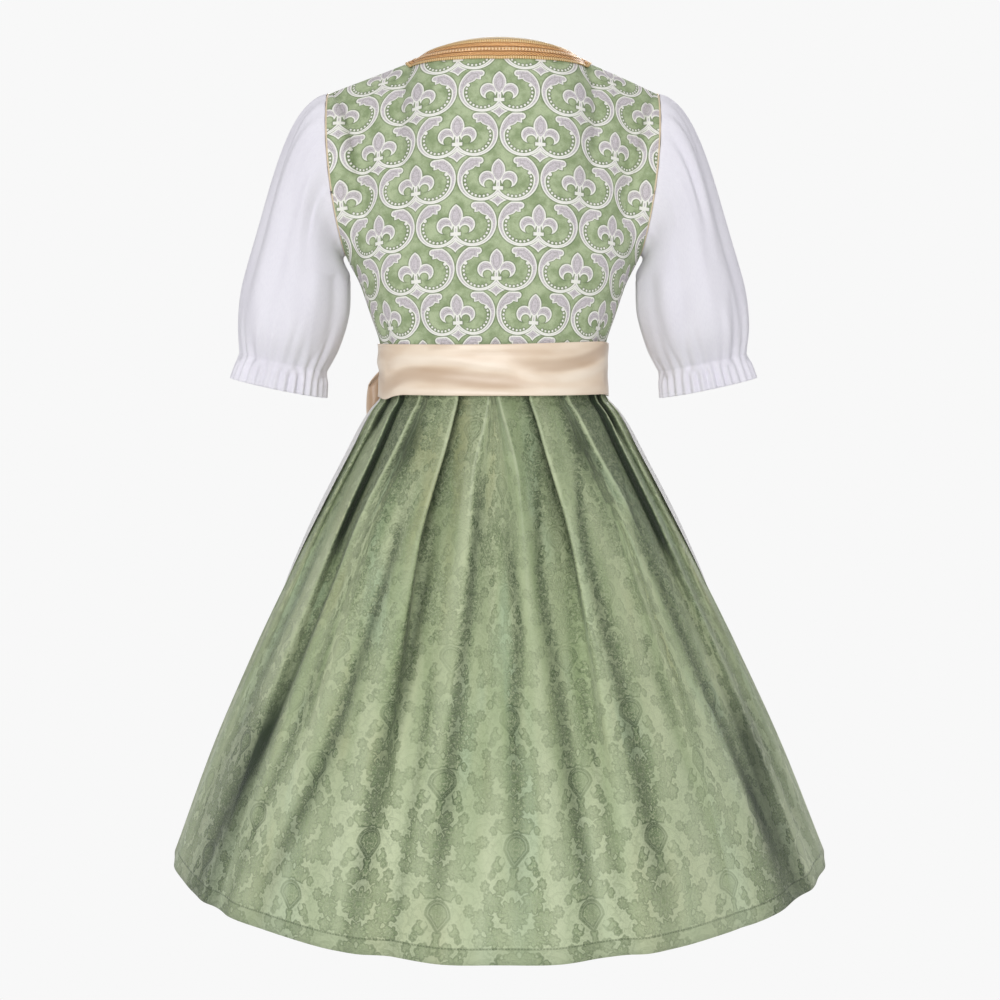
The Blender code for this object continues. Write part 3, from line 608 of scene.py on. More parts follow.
def satinFinish():
    finish, tree, shader = newFinish("satin")
    _, u, v = clothUv(tree)
    sheen = noise(tree, vectorOf(tree, u * 0.35, v), 45.0, 2.0, 0.45)
    yarn = noise(tree, vectorOf(tree, u * 0.06, v), 2600.0, 2.0, 0.6)
    paintedShading = readValue(tree, "paintedShading")
    body = mixPaint(tree, sheen.rise(0.35, 0.65), *satin["cloth"])
    # painted shade and painted highlight from each point's value
    body = mixPaint(tree, paintedShading.clamped(), body, satin["shade"])
    body = mixPaint(tree, (-paintedShading).clamped(), body, satin["light"])
    coat(tree, shader, body, yarn * 0.1 + 0.27, 0.2, 0.3)
    shader.inputs["Specular IOR Level"].default_value = 0.6
    relief(tree, shader, yarn * 0.25, 0.0003)
    return finish


braid = {
    "width": 0.0225,
    "thickness": 0.0011,
    "inset": 0.0008,
    "frontGap": 0.0003,  # half of what stays open at the centre front
    "lift": 0.0017,
    "steps": 230,
    "across": 18,
    "beadPitch": 0.0037,
    "loopPitch": 0.0026,
    "plaitPitch": 0.0034,
    "strandPitch": 0.0022,
    # a dark and a highlight colour: painted shade and painted highlight along the plait's strands
    "thread": (paint(158, 88, 36), paint(252, 200, 132)),
    "groove": paint(126, 68, 28),
    "bead": paint(250, 214, 170),
    "loops": (paint(204, 150, 82), paint(250, 224, 170)),
}


def braidFinish():
    finish, tree, shader = newFinish("braid")
    uv, u, v = clothUv(tree)
    b = braid
    share = v / b["width"]
    loopWave = u.wave(b["loopPitch"], "COSINE")
    slant = abs(v - b["width"] * 0.5) * 1.6
    plait = (u + slant).wave(b["plaitPitch"])
    strands = v.wave(b["strandPitch"], "COSINE") * 0.3 + plait * 0.7
    middle = abs(share - 0.5)
    beads = middle.fall(0.05, 0.1) * u.wave(b["beadPitch"], "COSINE").rise(0.2, 0.6)
    grooves = abs(middle - 0.12).fall(0.012, 0.035).most(abs(middle - 0.33).fall(0.008, 0.025) * 0.8)
    edges = middle.rise(0.34, 0.37)
    loops = edges * loopWave
    glint = noise(tree, uv, 620.0, 2.0, 0.6)
    # the strands pass from painted shade to painted highlight, with painted glints
    body = mixPaint(tree, (strands * 0.55 + glint * 0.45).rise(0.32, 0.62), *b["thread"])
    body = mixPaint(tree, edges, body, mixPaint(tree, loopWave, *b["loops"]))
    body = mixPaint(tree, grooves * 0.7, body, b["groove"])
    # painted glints: specks of highlight in the bead colour
    body = mixPaint(tree, glint.rise(0.58, 0.66) * 0.6, body, b["bead"])
    body = mixPaint(tree, beads, body, b["bead"])
    coat(tree, shader, body, 0.42)
    shader.inputs["Metallic"].default_value = 0.25
    relief(tree, shader, strands * 0.6 + beads * 0.8 + loops * 0.5 - grooves, 0.0008)
    return finish


piping = {"twill": 0.0016, "cloth": (paint(222, 200, 164), paint(246, 230, 202))}


def pipingFinish():
    finish, tree, shader = newFinish("piping")
    _, u, v = clothUv(tree)
    twill = (u + v * 1.2).wave(piping["twill"])
    body = mixPaint(tree, twill, *piping["cloth"])
    coat(tree, shader, body, 0.45, 0.15)
    relief(tree, shader, twill, 0.0003)
    return finish


finishes = {
    "jacquard": jacquardFinish(),
    "damask": damaskFinish(),
    "cotton": cottonFinish("cotton", paint(242, 240, 247), paint(229, 226, 236), 0.85),
    "apron_cloth": cottonFinish("apron_cloth", paint(247, 246, 244), paint(236, 234, 232), 0.7),
    "satin": satinFinish(),
    "braid": braidFinish(),
    "piping": pipingFinish(),
}
print("finishes made")

bodice = {
    "waist": -0.330,
    "chest": -0.235,  # the yokes begin here
    "roundness": 2.3,
    # height, half width, back, front
    "torso": (
        (-0.330, 0.1235, 0.0870, 0.0950),
        (-0.297, 0.1288, 0.0890, 0.0980),
        (-0.265, 0.1393, 0.0935, 0.1060),
        (-0.235, 0.1492, 0.0985, 0.1150),
        (-0.200, 0.1620, 0.1045, 0.1200),
    ),
    "neckHalfWidth": 0.0835,
    "neckSideHeight": 0.0262,
    "neckBack": (0.036, 0.070),  # height and depth
    "neckFront": (-0.128, -0.119),
    "neckSquareness": 2.7,
    "shoulderTip": (0.186, -0.0155),
    "armholeCentre": (0.1765, -0.1062),
    "armholeHalfHeight": 0.0907,
    "armholeLean": 0.0095,
    "armholeBulge": 0.0052,
    "armholeBack": 0.056,
    "armholeFront": 0.052,
    "backSplit": (0, 31, 58, 90),  # degrees of the chest that run up to neck, shoulder and armhole
    "frontSplit": (0, 32, 60, 90),
    "backColumns": (22, 7, 22),
    "frontColumns": (26, 7, 22),
    "bodyRows": 22,
    "yokeRows": 46,
    "overRise": 0.28,
    "cornerSlant": 0.7,
    "bust": (0.020, 0.078, -0.186, 0.050, 0.048),  # rise, across, height, spread across and up
    "dart": (0.0035, -0.195, 5.5),  # depth at the waist, height of its point, width in degrees
    "backDarts": (-66, 0, 66),
    "pipingRadius": 0.0011,
    "pipingSpace": 0.0013,
    "pipingGap": 0.0012,  # half of what stays open between its ends
    "seamGap": 0.0002,
    # how the panels lie flat: more across where they turn sideways and at the waist, the fall of the rows
    "turnedCloth": 5.77,
    "waistCloth": 0.13,
    "droop": (0.45, 0.95),
    "evenReach": 0.030,
    "lean": (0.0026, 0.0070),  # towards the wearer's right, at the waist and at the neck
    "leanWidth": (0.162, 0.178),
    "cordSteps": 150,
    "wall": 0.0007,
}
# soft creases: across, top, bottom, half width, depth, slant (across for each metre down)
backCreases = (
    (-0.004, -0.16, -0.345, 0.005, -0.001, 0.0),
    (0.014, -0.21, -0.345, 0.006, 0.0007, -0.03),
    (-0.022, -0.23, -0.345, 0.0055, 0.0006, 0.04),
    (0.098, -0.235, -0.345, 0.0042, -0.0019, -0.22),
    (0.11, -0.25, -0.345, 0.005, 0.0013, -0.24),
    (-0.1, -0.228, -0.345, 0.0042, -0.0019, 0.22),
    (-0.113, -0.255, -0.345, 0.005, 0.0013, 0.24),
    (0.145, -0.2, -0.32, 0.0075, 0.0012, -0.35),
    (-0.148, -0.205, -0.325, 0.007, 0.0013, 0.33),
    (0.152, -0.085, -0.19, 0.008, -0.0011, 0.1),
    (-0.15, -0.07, -0.18, 0.0085, -0.0011, -0.12),
    (0.06, -0.02, -0.09, 0.01, 0.0006, 0.35),
    (-0.058, -0.015, -0.085, 0.01, 0.0006, -0.38),
    (0.132, -0.005, -0.06, 0.007, -0.0008, 0.55),
    (-0.135, -0.008, -0.065, 0.007, -0.0008, -0.55),
)
frontCreases = (
    (0.028, -0.235, -0.345, 0.005, 0.0009, 0.1),
    (0.052, -0.24, -0.345, 0.0042, -0.0016, 0.12),
    (0.105, -0.25, -0.345, 0.005, -0.0012, -0.1),
    (0.15, -0.15, -0.26, 0.008, -0.0012, -0.3),
    (0.128, -0.04, -0.12, 0.008, 0.0009, 0.45),
)


def creaseDepth(creases, across, height):
    total = 0.0
    for place, top, bottom, width, depth, slant in creases:
        if bottom < height < top:
            share = (top - height) / (top - bottom)
            off = across - place - slant * (top - height)
            total += depth * ease(share / 0.35) * ease((1 - share) / 0.15) * bell(off, width)
    return total


def ellipsePoint(halfWidth, back, front, angle, height, roundness):
    s, c = sinCos(angle)
    depth = back if c > 0 else front
    x = halfWidth * signedPower(s, 2 / roundness)
    return Vector((x, depth * signedPower(c, 2 / roundness), height))


torsoSizes = curvesOf(bodice["torso"])


def torso(angle, height):
    return ellipsePoint(*(size(height) for size in torsoSizes), angle, height, bodice["roundness"])


def armhole(angle, side=1):  # 0 at the shoulder tip, 90 in the back, 180 under the arm, 270 in front
    b = bodice
    s, c = sinCos(angle)
    x = b["armholeCentre"][0] + b["armholeLean"] * c + b["armholeBulge"] * s * s
    y = (b["armholeBack"] if s > 0 else b["armholeFront"]) * s
    return Vector((side * x, y, b["armholeCentre"][1] + b["armholeHalfHeight"] * c))


def neckline(turn, front):  # (point, the way the cloth runs there); 0 at the centre back, 90 at the shoulder
    b = bodice
    s, c = sinCos(turn)
    if not front:
        z = blend(b["neckSideHeight"], b["neckBack"][0], c * c)
        lean = -0.25 - 0.5 * s * c - 0.35 * s * s
        way = Vector((-b["cornerSlant"] * s * s, lean, b["overRise"] + 0.72 * c))
        return Vector((b["neckHalfWidth"] * s, b["neckBack"][1] * c, z)), way
    fall = abs(c) ** (2 / b["neckSquareness"])
    x = b["neckHalfWidth"] * abs(s) ** (2 / b["neckSquareness"])
    y = b["neckFront"][1] * (1 - (1 - fall) ** 2.3)
    z = blend(b["neckSideHeight"], b["neckFront"][0], fall)
    way = Vector((-b["cornerSlant"] * (1 - fall), 0.6 - 0.35 * fall, b["overRise"] + 0.72 * fall))
    return Vector((x, y, z)), way


def topEdge(zone, share, front):  # zones: 0 neckline, 1 shoulder seam, 2 armhole
    b = bodice
    side = -1.0 if front else 1.0
    slant, rise = b["cornerSlant"], b["overRise"]
    if zone == 0:
        return neckline(180 - 90 * share if front else 90 * share, front)
    if zone == 1:
        x = blend(b["neckHalfWidth"], b["shoulderTip"][0], share)
        z = blend(b["neckSideHeight"], b["shoulderTip"][1], share)
        return Vector((x, 0.0, z)), Vector((blend(-slant, slant, share), -0.8 * side, rise))
    over = Vector((slant, -0.8 * side, rise))
    outward = Vector((0.62, -side * 0.32, 0.55))
    upward = Vector((0.34, 0.0, 1.0))
    if share < 0.5:
        way = over.lerp(outward, ease(2 * share))
    else:
        way = outward.lerp(upward, ease(2 * share - 1))
    return armhole(360 - 180 * share if front else 180 * share), way


def panelColumn(zone, share, front):  # one column of the left half, from the waist up to its edge
    b = bodice
    split = b["frontSplit"] if front else b["backSplit"]
    along = blend(split[zone], split[zone + 1], share)
    angle = 180 - along if front else along
    heights = [blend(b["waist"], b["chest"], r / b["bodyRows"]) for r in range(b["bodyRows"] + 1)]
    column = [torso(angle, height) for height in heights]
    start = column[-1]
    rise = (torso(angle, b["chest"] + 0.01) - start) * 100
    end, way = topEdge(zone, share, front)
    length = (end - start).length
    pull = (blend(0.9, 0.62, share * share), 0.62, blend(0.62, 0.75, share))[zone]
    arrive = way.normalized() * length * pull
    if zone == 2 or (zone == 1 and share == 1):
        end = end - way.normalized() * b["pipingSpace"]
    for r in range(1, b["yokeRows"] + 1):
        t = 1 - (1 - r / b["yokeRows"]) ** 1.35
        column.append(hermite(start, rise.normalized() * length, end, arrive, t))
    for point in column:
        if front:
            lift, across, height, spreadX, spreadZ = b["bust"]
            point.y -= lift * bell(abs(point.x) - across, spreadX) * bell(point.z - height, spreadZ)
        else:
            depth, top, width = b["dart"]
            fade = ease((top - point.z) / (top - b["waist"]))
            drawn = sum(depth * fade * bell(along - place, width) for place in b["backDarts"])
            point += Vector((-point.x, -point.y, 0.0)).normalized() * drawn
    return column


def evened(columns, places):  # v without the kinks that lie between the zones of a half
    reach = bodice["evenReach"]
    points = [point for column in columns for point in column]
    extra = [v - point.z for column, here in zip(columns, places) for point, (_, v) in zip(column, here)]
    tree = KDTree(len(points))
    for i, point in enumerate(points):
        tree.insert(point, i)
    tree.balance()
    smooth = []
    for column, here in zip(columns, places):
        made = []
        for point, (u, v) in zip(column, here):
            share = ease((point.x - 0.05) / 0.05) * ease((point.z + 0.24) / 0.05)
            if share > 0:
                near = [(extra[i], bell(away, 0.5 * reach)) for _, i, away in tree.find_range(point, reach)]
                mean = sum(value * weight for value, weight in near) / sum(weight for _, weight in near)
                v = blend(v, point.z + mean, share)
            made.append((u, v))
        smooth.append(made)
    return smooth


def clothPlaces(columns):  # (u, v) on the flat cloth for each point of a half
    b = bodice
    centre = sorted((p.z, abs(p.y)) for p in columns[0])
    heights = [z for z, _ in centre]
    depthAt = smoothCurve(heights, [y for _, y in centre])
    found, inner = [], [(-1.0, 0.0), (1.0, 0.0)]
    for column in columns:
        run, places, insets = b["waist"], [], []
        for i, point in enumerate(column):
            if i:
                step = point - column[i - 1]
                run += math.hypot(step.y, step.z)
            flat = blend(1.0, 0.35, ease((point.z + 0.2) / 0.17))
            # the cloth never draws together again towards the armhole
            after = min(max(bisect.bisect(inner, (point.z, 0.0)), 1), len(inner) - 1)
            (lower, start), (upper, end) = inner[after - 1], inner[after]
            before = blend(start, end, min(max((point.z - lower) / max(upper - lower, 1e-6), 0.0), 1.0))
            inset = max(depthAt(point.z) - abs(point.y), before)
            insets.append((point.z, inset))
            u = abs(point.x) + b["turnedCloth"] * flat * inset * inset
            u *= 1 + b["waistCloth"] * ease((-0.2 - point.z) / 0.12)
            droop = blend(*b["droop"], ease((point.z + 0.33) / 0.3))
            places.append((u, run + droop * u * u / (1 + 12 * u * u)))
        found.append(places)
        inner = sorted(insets)
    return evened(columns, found)


def trimmed(columns, gap):  # the first and last column moved in at a seam
    moved = [[p.copy() for p in column] for column in columns]
    for edge, inner in ((0, 1), (-1, -2)):
        moved[edge] = [p + (q - p).normalized() * gap for p, q in zip(moved[edge], columns[inner])]
    return moved


def bodicePanel(name, columns, places, creases):
    columns = trimmed(columns, bodice["seamGap"])
    for column, here in zip(columns, places):
        for point, (u, _) in zip(column, here):
            outward = Vector((point.x, 1.8 * point.y, 0.0)).normalized()
            point += outward * creaseDepth(creases, u, point.z)
    rows, uvs = [list(row) for row in zip(*columns)], [list(row) for row in zip(*places)]
    return addSheet(name, "jacquard", rows, uvs, bodice["wall"]), rows


def halfColumns(front):
    counts = bodice["frontColumns"] if front else bodice["backColumns"]
    zones = []
    for zone, count in enumerate(counts):
        zones.append([panelColumn(zone, (i + 1) / count, front) for i in range(count)])
    zones[0].insert(0, panelColumn(0, 0.0, front))
    return zones


backZones, frontZones = halfColumns(False), halfColumns(True)
backHalf, frontHalf = sum(backZones, []), sum(frontZones, [])
neckEdge = [column[-1].copy() for column in frontZones[0] + backZones[0][-2::-1]]
backPlaces, frontPlaces = clothPlaces(backHalf), clothPlaces(frontHalf)


def otherSide(places):
    return [[(-u, v) for u, v in column] for column in places]


wholeBack = mirrored(backHalf)[::-1][:-1] + backHalf
wholePlaces = otherSide(backPlaces)[::-1][:-1] + backPlaces
otherCreases = [(-row[0], *row[1:5], -row[5]) for row in frontCreases]
bodiceBack, backRows = bodicePanel("bodice_back_cloth", wholeBack, wholePlaces, backCreases)
leftFront, leftRows = bodicePanel("bodice_front_left_cloth", frontHalf, frontPlaces, frontCreases)
rightFront, rightRows = bodicePanel(
    "bodice_front_right_cloth", mirrored(frontHalf), otherSide(frontPlaces), otherCreases
)
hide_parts("bodice_back")
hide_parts("bodice_front_left")
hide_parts("bodice_front_right")
print("bodice sewn")


def surfaceOf(sheets):  # what lies on the bodice is measured from it
    points, faces = [], []
    for rows in sheets:
        width = len(rows[0])
        base = len(points)
        points += [p for row in rows for p in row]
        for r in range(len(rows) - 1):
            for c in range(width - 1):
                corner = base + r * width + c
                faces.append((corner, corner + 1, corner + width + 1, corner + width))
    return BVHTree.FromPolygons(points, faces)


def outerFace(guess):
    place, normal, _, _ = bodiceSurface.find_nearest(guess)
    outward = Vector((0.4 * place.x, place.y, 0.12 + max(place.z + 0.1, 0.0)))
    return place, normal if normal.dot(outward) > 0 else -normal


def alongLine(line, lengths, share):
    left = min(max(share, 0.0), 1.0) * lengths[-1]
    for i in range(1, len(line)):
        if left <= lengths[i]:
            return line[i - 1].lerp(line[i], (left - lengths[i - 1]) / (lengths[i] - lengths[i - 1]))
    return line[-1].copy()


def insetWays(line, steps):  # (point of the edge, the way in from it along the cloth)
    lengths = lengthsAlong(line)
    found = []
    for i in range(steps + 1):
        here = alongLine(line, lengths, i / steps)
        along = alongLine(line, lengths, i / steps + 0.02) - alongLine(line, lengths, i / steps - 0.02)
        inward = along.normalized().cross(outerFace(here)[1]).normalized()
        nearest = [bodiceSurface.find_nearest(here + inward * 0.006 * sign)[0] for sign in (1, -1)]
        farther = (nearest[1] - here).length > (nearest[0] - here).length
        found.append((here, -inward if farther else inward))
    return found


def bothHalves(row):
    row[-1].x = 0.0
    return row + [Vector((-p.x, p.y, p.z)) for p in row[-2::-1]]


bodiceSurface = surfaceOf([backRows, leftRows, rightRows])
neckWays = insetWays(neckEdge, braid["steps"])


def braidHeight(share):  # beads in the middle between two grooves, thicker loops along both edges
    middle = abs(share - 0.5)
    return bell(middle, 0.09) - 0.8 * bell(middle - 0.15, 0.03) - 0.5 * bell(middle - 0.34, 0.03)


def neckBraid():
    rows, uvs = [], []
    for k in range(braid["across"] + 1):
        share = k / braid["across"]
        lift = braid["lift"] + 0.0004 * braidHeight(share)
        row = []
        for here, inward in neckWays:
            place, outward = outerFace(here + inward * (braid["inset"] + share * braid["width"]))
            row.append(place + outward * lift)
        row[0].x = braid["frontGap"]
        rows.append(row)
    rows = [bothHalves(row) for row in rows]
    run = lengthsAlong(rows[len(rows) // 2])
    uvs = [[(u - run[-1] / 2, braid["width"] * k / braid["across"]) for u in run] for k in range(len(rows))]
    return addSheet("neck_braid_band", "braid", rows, uvs, braid["thickness"])


def leanBack(piece):  # the neck hangs a little to the wearer's right
    for vertex in piece.data.vertices:
        x, _, z = vertex.co
        above = z + 0.2
        wide = blend(*bodice["leanWidth"], ease(above / 0.18)) if above >= 0 else torsoSizes[0](z)
        amount = blend(*bodice["lean"], ease((z + 0.33) / 0.34))
        vertex.co.x -= amount * max(1 - (x / wide) ** 4, 0.0)


braidBand = neckBraid()
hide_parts("neck_braid")
neckCord = [here - inward * bodice["pipingSpace"] for here, inward in neckWays]
neckCord[0].x = bodice["pipingGap"]
neckPiping = addTube("neck_piping_cord", "piping", bothHalves(neckCord), bodice["pipingRadius"])
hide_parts("neck_piping")
for piece in (bodiceBack, leftFront, rightFront, braidBand, neckPiping):
    leanBack(piece)
for sign, hand in ((1, "left"), (-1, "right")):
    cord = [armhole(360 * i / bodice["cordSteps"], sign) for i in range(bodice["cordSteps"])]
    addTube(f"armhole_cord_{hand}", "piping", cord, bodice["pipingRadius"], ring=True)
    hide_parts(f"armhole_piping_{hand}")
print("trims laid on")

sleeve = {
    "seam": 0.0014,  # from the piping's middle out to the sleeve's edge
    # height, x, y, half width, half depth
    "rings": (
        (-0.2110, 0.2190, 0.002, 0.0568, 0.0680),
        (-0.2510, 0.2255, 0.000, 0.0620, 0.0700),
        (-0.2880, 0.2340, -0.003, 0.0588, 0.0640),
        (-0.3185, 0.2412, -0.005, 0.0498, 0.0445),
    ),
    "tilt": 12,
    "flatGirth": 0.42,
    "middle": 0.22,  # of the arm, from the middle of the body
    "columns": 288,
    "capShare": 0.56,  # of the way down, from the seam to the upper ring
    "capRows": 40,
    "lowerRows": 34,
    "frillRows": 16,
    "capGathers": 21,
    "capDepth": 0.0020,
    "cuffGathers": 23,
    "cuffDepth": 0.0019,
    "frillGap": 0.0011,
    "frillLength": 0.0285,
    "frillFlare": 0.0050,
    "frillWaves": 31,
    "frillWave": 0.0030,
    "wall": 0.0006,
}
# long soft folds: angle round the arm, share down from the seam at top and bottom, width in degrees,
# depth, and how many degrees the fold drifts on its way
sleeveFolds = (
    (12, 0.1, 0.85, 9, 0.0026, 5),
    (30, 0.03, 0.75, 7, -0.0026, 6),
    (48, 0.08, 0.95, 10, 0.0026, 3),
    (70, 0.04, 0.92, 9, -0.0042, 2),
    (88, 0.03, 0.6, 7, 0.0026, 6),
    (103, 0.03, 0.48, 6, -0.0034, -7),
    (118, 0.1, 0.95, 10, 0.0026, -5),
    (138, 0.3, 0.98, 8, -0.0026, 5),
    (60, 0.7, 1.0, 6, 0.0018, 0),
    (84, 0.66, 1.0, 5, -0.002, 3),
    (97, 0.72, 1.0, 5, 0.0018, -2),
    (157, 0.3, 0.98, 9, 0.0022, 4),
    (178, 0.35, 0.98, 9, -0.0023, -5),
    (199, 0.3, 0.98, 9, 0.0022, 6),
    (219, 0.18, 0.97, 8, -0.0026, -6),
    (236, 0.06, 0.9, 8, 0.0025, 5),
    (252, 0.12, 0.84, 7, -0.003, 7),
    (267, 0.02, 0.74, 7, 0.0024, -6),
    (284, 0.05, 0.94, 9, -0.0034, -5),
    (302, 0.02, 0.7, 8, 0.0026, 6),
    (320, 0.06, 0.88, 8, -0.003, 4),
    (342, 0.05, 0.78, 8, 0.0025, -4),
)
tiltSin, tiltCos = sinCos(sleeve["tilt"])
armOut = Vector((tiltCos, 0.0, tiltSin))
armBack = Vector((0.0, 1.0, 0.0))
armDown = Vector((tiltSin, 0.0, -tiltCos))


def armPoint(ring, angle):
    height, x, y, halfWidth, halfDepth = ring
    s, c = sinCos(angle)
    return Vector((x, y, height)) + armOut * (c * halfWidth) + armBack * (s * halfDepth)


def sleeveCap(angle, share):
    start = armhole(angle) + Vector((sleeve["seam"], 0.0, 0.0))
    end = armPoint(sleeve["rings"][0], angle)
    length = (end - start).length
    s, c = sinCos(angle)
    top = (1 + c) / 2
    leave = Vector((1.0, 0.42 * s, -0.16 - 0.3 * (1 - top))).normalized() * length * blend(1.1, 0.62, top)
    arrive = (armDown + Vector((0.12 * c, 0.0, 0.0))) * length
    return hermite(start, leave, end, arrive, share), Vector((0.5 + 0.5 * c, s, 0.6 * c)).normalized()


def sleeveLower(angle, share):
    rings = sleeve["rings"]
    place = share * (len(rings) - 1)
    i = min(int(place), len(rings) - 2)
    here, there = armPoint(rings[i], angle), armPoint(rings[i + 1], angle)
    before = armPoint(rings[i - 1], angle) if i else here * 2 - there
    after = armPoint(rings[i + 2], angle) if i + 2 < len(rings) else there * 2 - here
    s, c = sinCos(angle)
    return hermite(here, (there - before) / 2, there, (after - here) / 2, place - i), armOut * c + armBack * s


def unevenWave(angle, count, phase):  # gathers of uneven width, from -1 to 1
    drift = 17 * sinOf(3 * angle + phase) + 11 * sinOf(7 * angle + 2 * phase)
    tall = 0.72 + 0.28 * sinOf(5 * angle + 3 * phase)
    return tall * cosOf(count * angle + 2.2 * drift + phase)


def foldsOn(angle, down, phase):
    total = 0.0
    for place, top, bottom, width, depth, drift in sleeveFolds:
        if top < down < bottom:
            share = (down - top) / (bottom - top)
            off = (angle + phase - place - drift * share + 180) % 360 - 180
            if abs(off) < 3 * width:
                total += depth * math.sin(math.pi * share) ** 0.8 * bell(off, width)
    return total


def capPoint(angle, share, phase):
    point, outward = sleeveCap(angle, share)
    top = (1 + cosOf(angle)) / 2
    near = math.sin(math.pi * min(share * 1.25 + 0.04, 1.0)) ** 0.7
    reach = 0.42 + 0.3 * sinOf(11 * angle + phase)
    gathers = near * blend(0.45, 1.0, top) * math.exp(-((share / reach) ** 2))
    point += outward * (sleeve["capDepth"] * gathers * unevenWave(angle, sleeve["capGathers"], phase))
    return point + outward * foldsOn(angle, sleeve["capShare"] * share, phase) * ease(share / 0.12)


def lowerPoint(angle, share, phase):
    point, outward = sleeveLower(angle, share)
    reach = 0.5 + 0.22 * sinOf(9 * angle + 2 * phase)
    gathers = ease((share - reach) / (1 - reach)) * unevenWave(angle, sleeve["cuffGathers"], phase + 50)
    folds = foldsOn(angle, blend(sleeve["capShare"], 1.0, share), phase)
    return point + outward * (sleeve["cuffDepth"] * gathers + folds)


def frillPoint(angle, share, phase):
    point, outward = sleeveLower(angle, 1.0)
    narrow = sleeve["cuffDepth"] * unevenWave(angle, sleeve["cuffGathers"], phase + 50)
    wide = sleeve["frillWave"] * unevenWave(angle, sleeve["frillWaves"], phase + 80)
    lift = sleeve["frillFlare"] * share**0.8 + blend(narrow, wide, ease(share / 0.45))
    return point + outward * lift + armDown * (sleeve["frillGap"] + sleeve["frillLength"] * share)


def sleeveRows(phase):
    s = sleeve
    angles = [360 * i / s["columns"] for i in range(s["columns"])]
    steps = [(capPoint, (r / s["capRows"]) ** 1.25) for r in range(s["capRows"] + 1)]
    steps += [(lowerPoint, r / s["lowerRows"]) for r in range(1, s["lowerRows"] + 1)]
    steps += [(frillPoint, r / s["frillRows"]) for r in range(1, s["frillRows"] + 1)]
    return [[placeOf(angle, share, phase) for angle in angles] for placeOf, share in steps]


for sign, hand, phase in ((1, "left", 0), (-1, "right", 37)):
    rows = sleeveRows(phase)
    if sign < 0:
        rows = mirrored(rows)
    runs = [lengthsAlong(column) for column in zip(*rows)]
    step = sleeve["flatGirth"] / sleeve["columns"]
    uvs = [[(c * step, -runs[c % len(runs)][r]) for c in range(len(runs) + 1)] for r in range(len(rows))]
    around = (sign * sleeve["middle"], 0.0)
    made = addSheet(f"sleeve_{hand}_cloth", "cotton", rows, uvs, sleeve["wall"], ring=True, around=around)
    stitching = []  # along the elastic and along the frill's hem
    last = sleeve["capRows"] + sleeve["lowerRows"]
    for r in range(len(rows)):
        near = bell(r - last, 1.0) + 0.7 * bell(r - last - sleeve["frillRows"] + 2.2, 0.5)
        stitching += [near] * len(rows[0])
    giveValues(made, "stitching", stitching)
    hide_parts(f"sleeve_{hand}", f"sleeve_ruffle_{hand}")
print("sleeves gathered")

skirt = {
    "top": -0.3304,
    # depth, half width, roundness, fold height, fold lean
    "outline": (
        (0.0, 0.125, 0.715, 0.0034, 0.2),
        (0.027, 0.1288, 0.725, 0.0046, 0.21),
        (0.043, 0.1402, 0.785, 0.007, 0.23),
        (0.083, 0.161, 0.84, 0.0105, 0.25),
        (0.14, 0.1912, 0.89, 0.0125, 0.23),
        (0.21, 0.2264, 0.93, 0.0115, 0.17),
        (0.31, 0.276, 0.96, 0.009, 0.1),
        (0.43, 0.3305, 0.985, 0.0064, 0.05),
        (0.554, 0.3785, 0.99, 0.0042, 0.03),
    ),
    "sideways": (-0.0022, -0.0052),  # the skirt swings a little to the wearer's right
    "hemDip": 0.031,
    # fold edges in degrees from the centre back, at the waist and below
    "pleats": (
        (1.8, 8.4),
        (18.5, 24.0),
        (40.0, 50.0),
        (60.0, 61.0),
        (72.0, 76.0),
        (86.0, 90.0),
        (104.0, 107.0),
        (124.0, 126.0),
        (144.0, 145.0),
        (163.0, 163.0),
    ),
    # how far the cloth after an edge leans over, how deep it dips at the waist and below
    "ways": {-1: (1.0, 0.45, 0.45), 1: (0.4, 0.45, 0.45), 2: (1.0, 0.55, 0.5), 3: (1.0, 0.8, 0.35)},
    "uneven": (60.0, -3.3, 9.0),  # where one side's folds differ from the other's, by how much, how wide
    "opens": 0.18,  # depth at which the fold edges have fanned out
    "middleOpens": 0.11,
    "crisp": (1.2, 2.0),  # how round the fold edges are, at the waist and below
    "pressed": (0.95, 14),  # the apron's edges press the folds flat: how far, degrees to each side
    # painted shade in the slits and under the sash, painted highlight along the fold edges
    "slitPaintedShade": 0.78,
    "crestPaintedHighlight": 0.7,
    "waistPaintedShade": 0.12,
    "streakPaintedShading": (1.3, 0.5),  # painted shade in a soft fold, and painted highlight on the cloth beside it
    "perPleat": 24,
    "rows": 84,
    "wall": 0.0007,
}
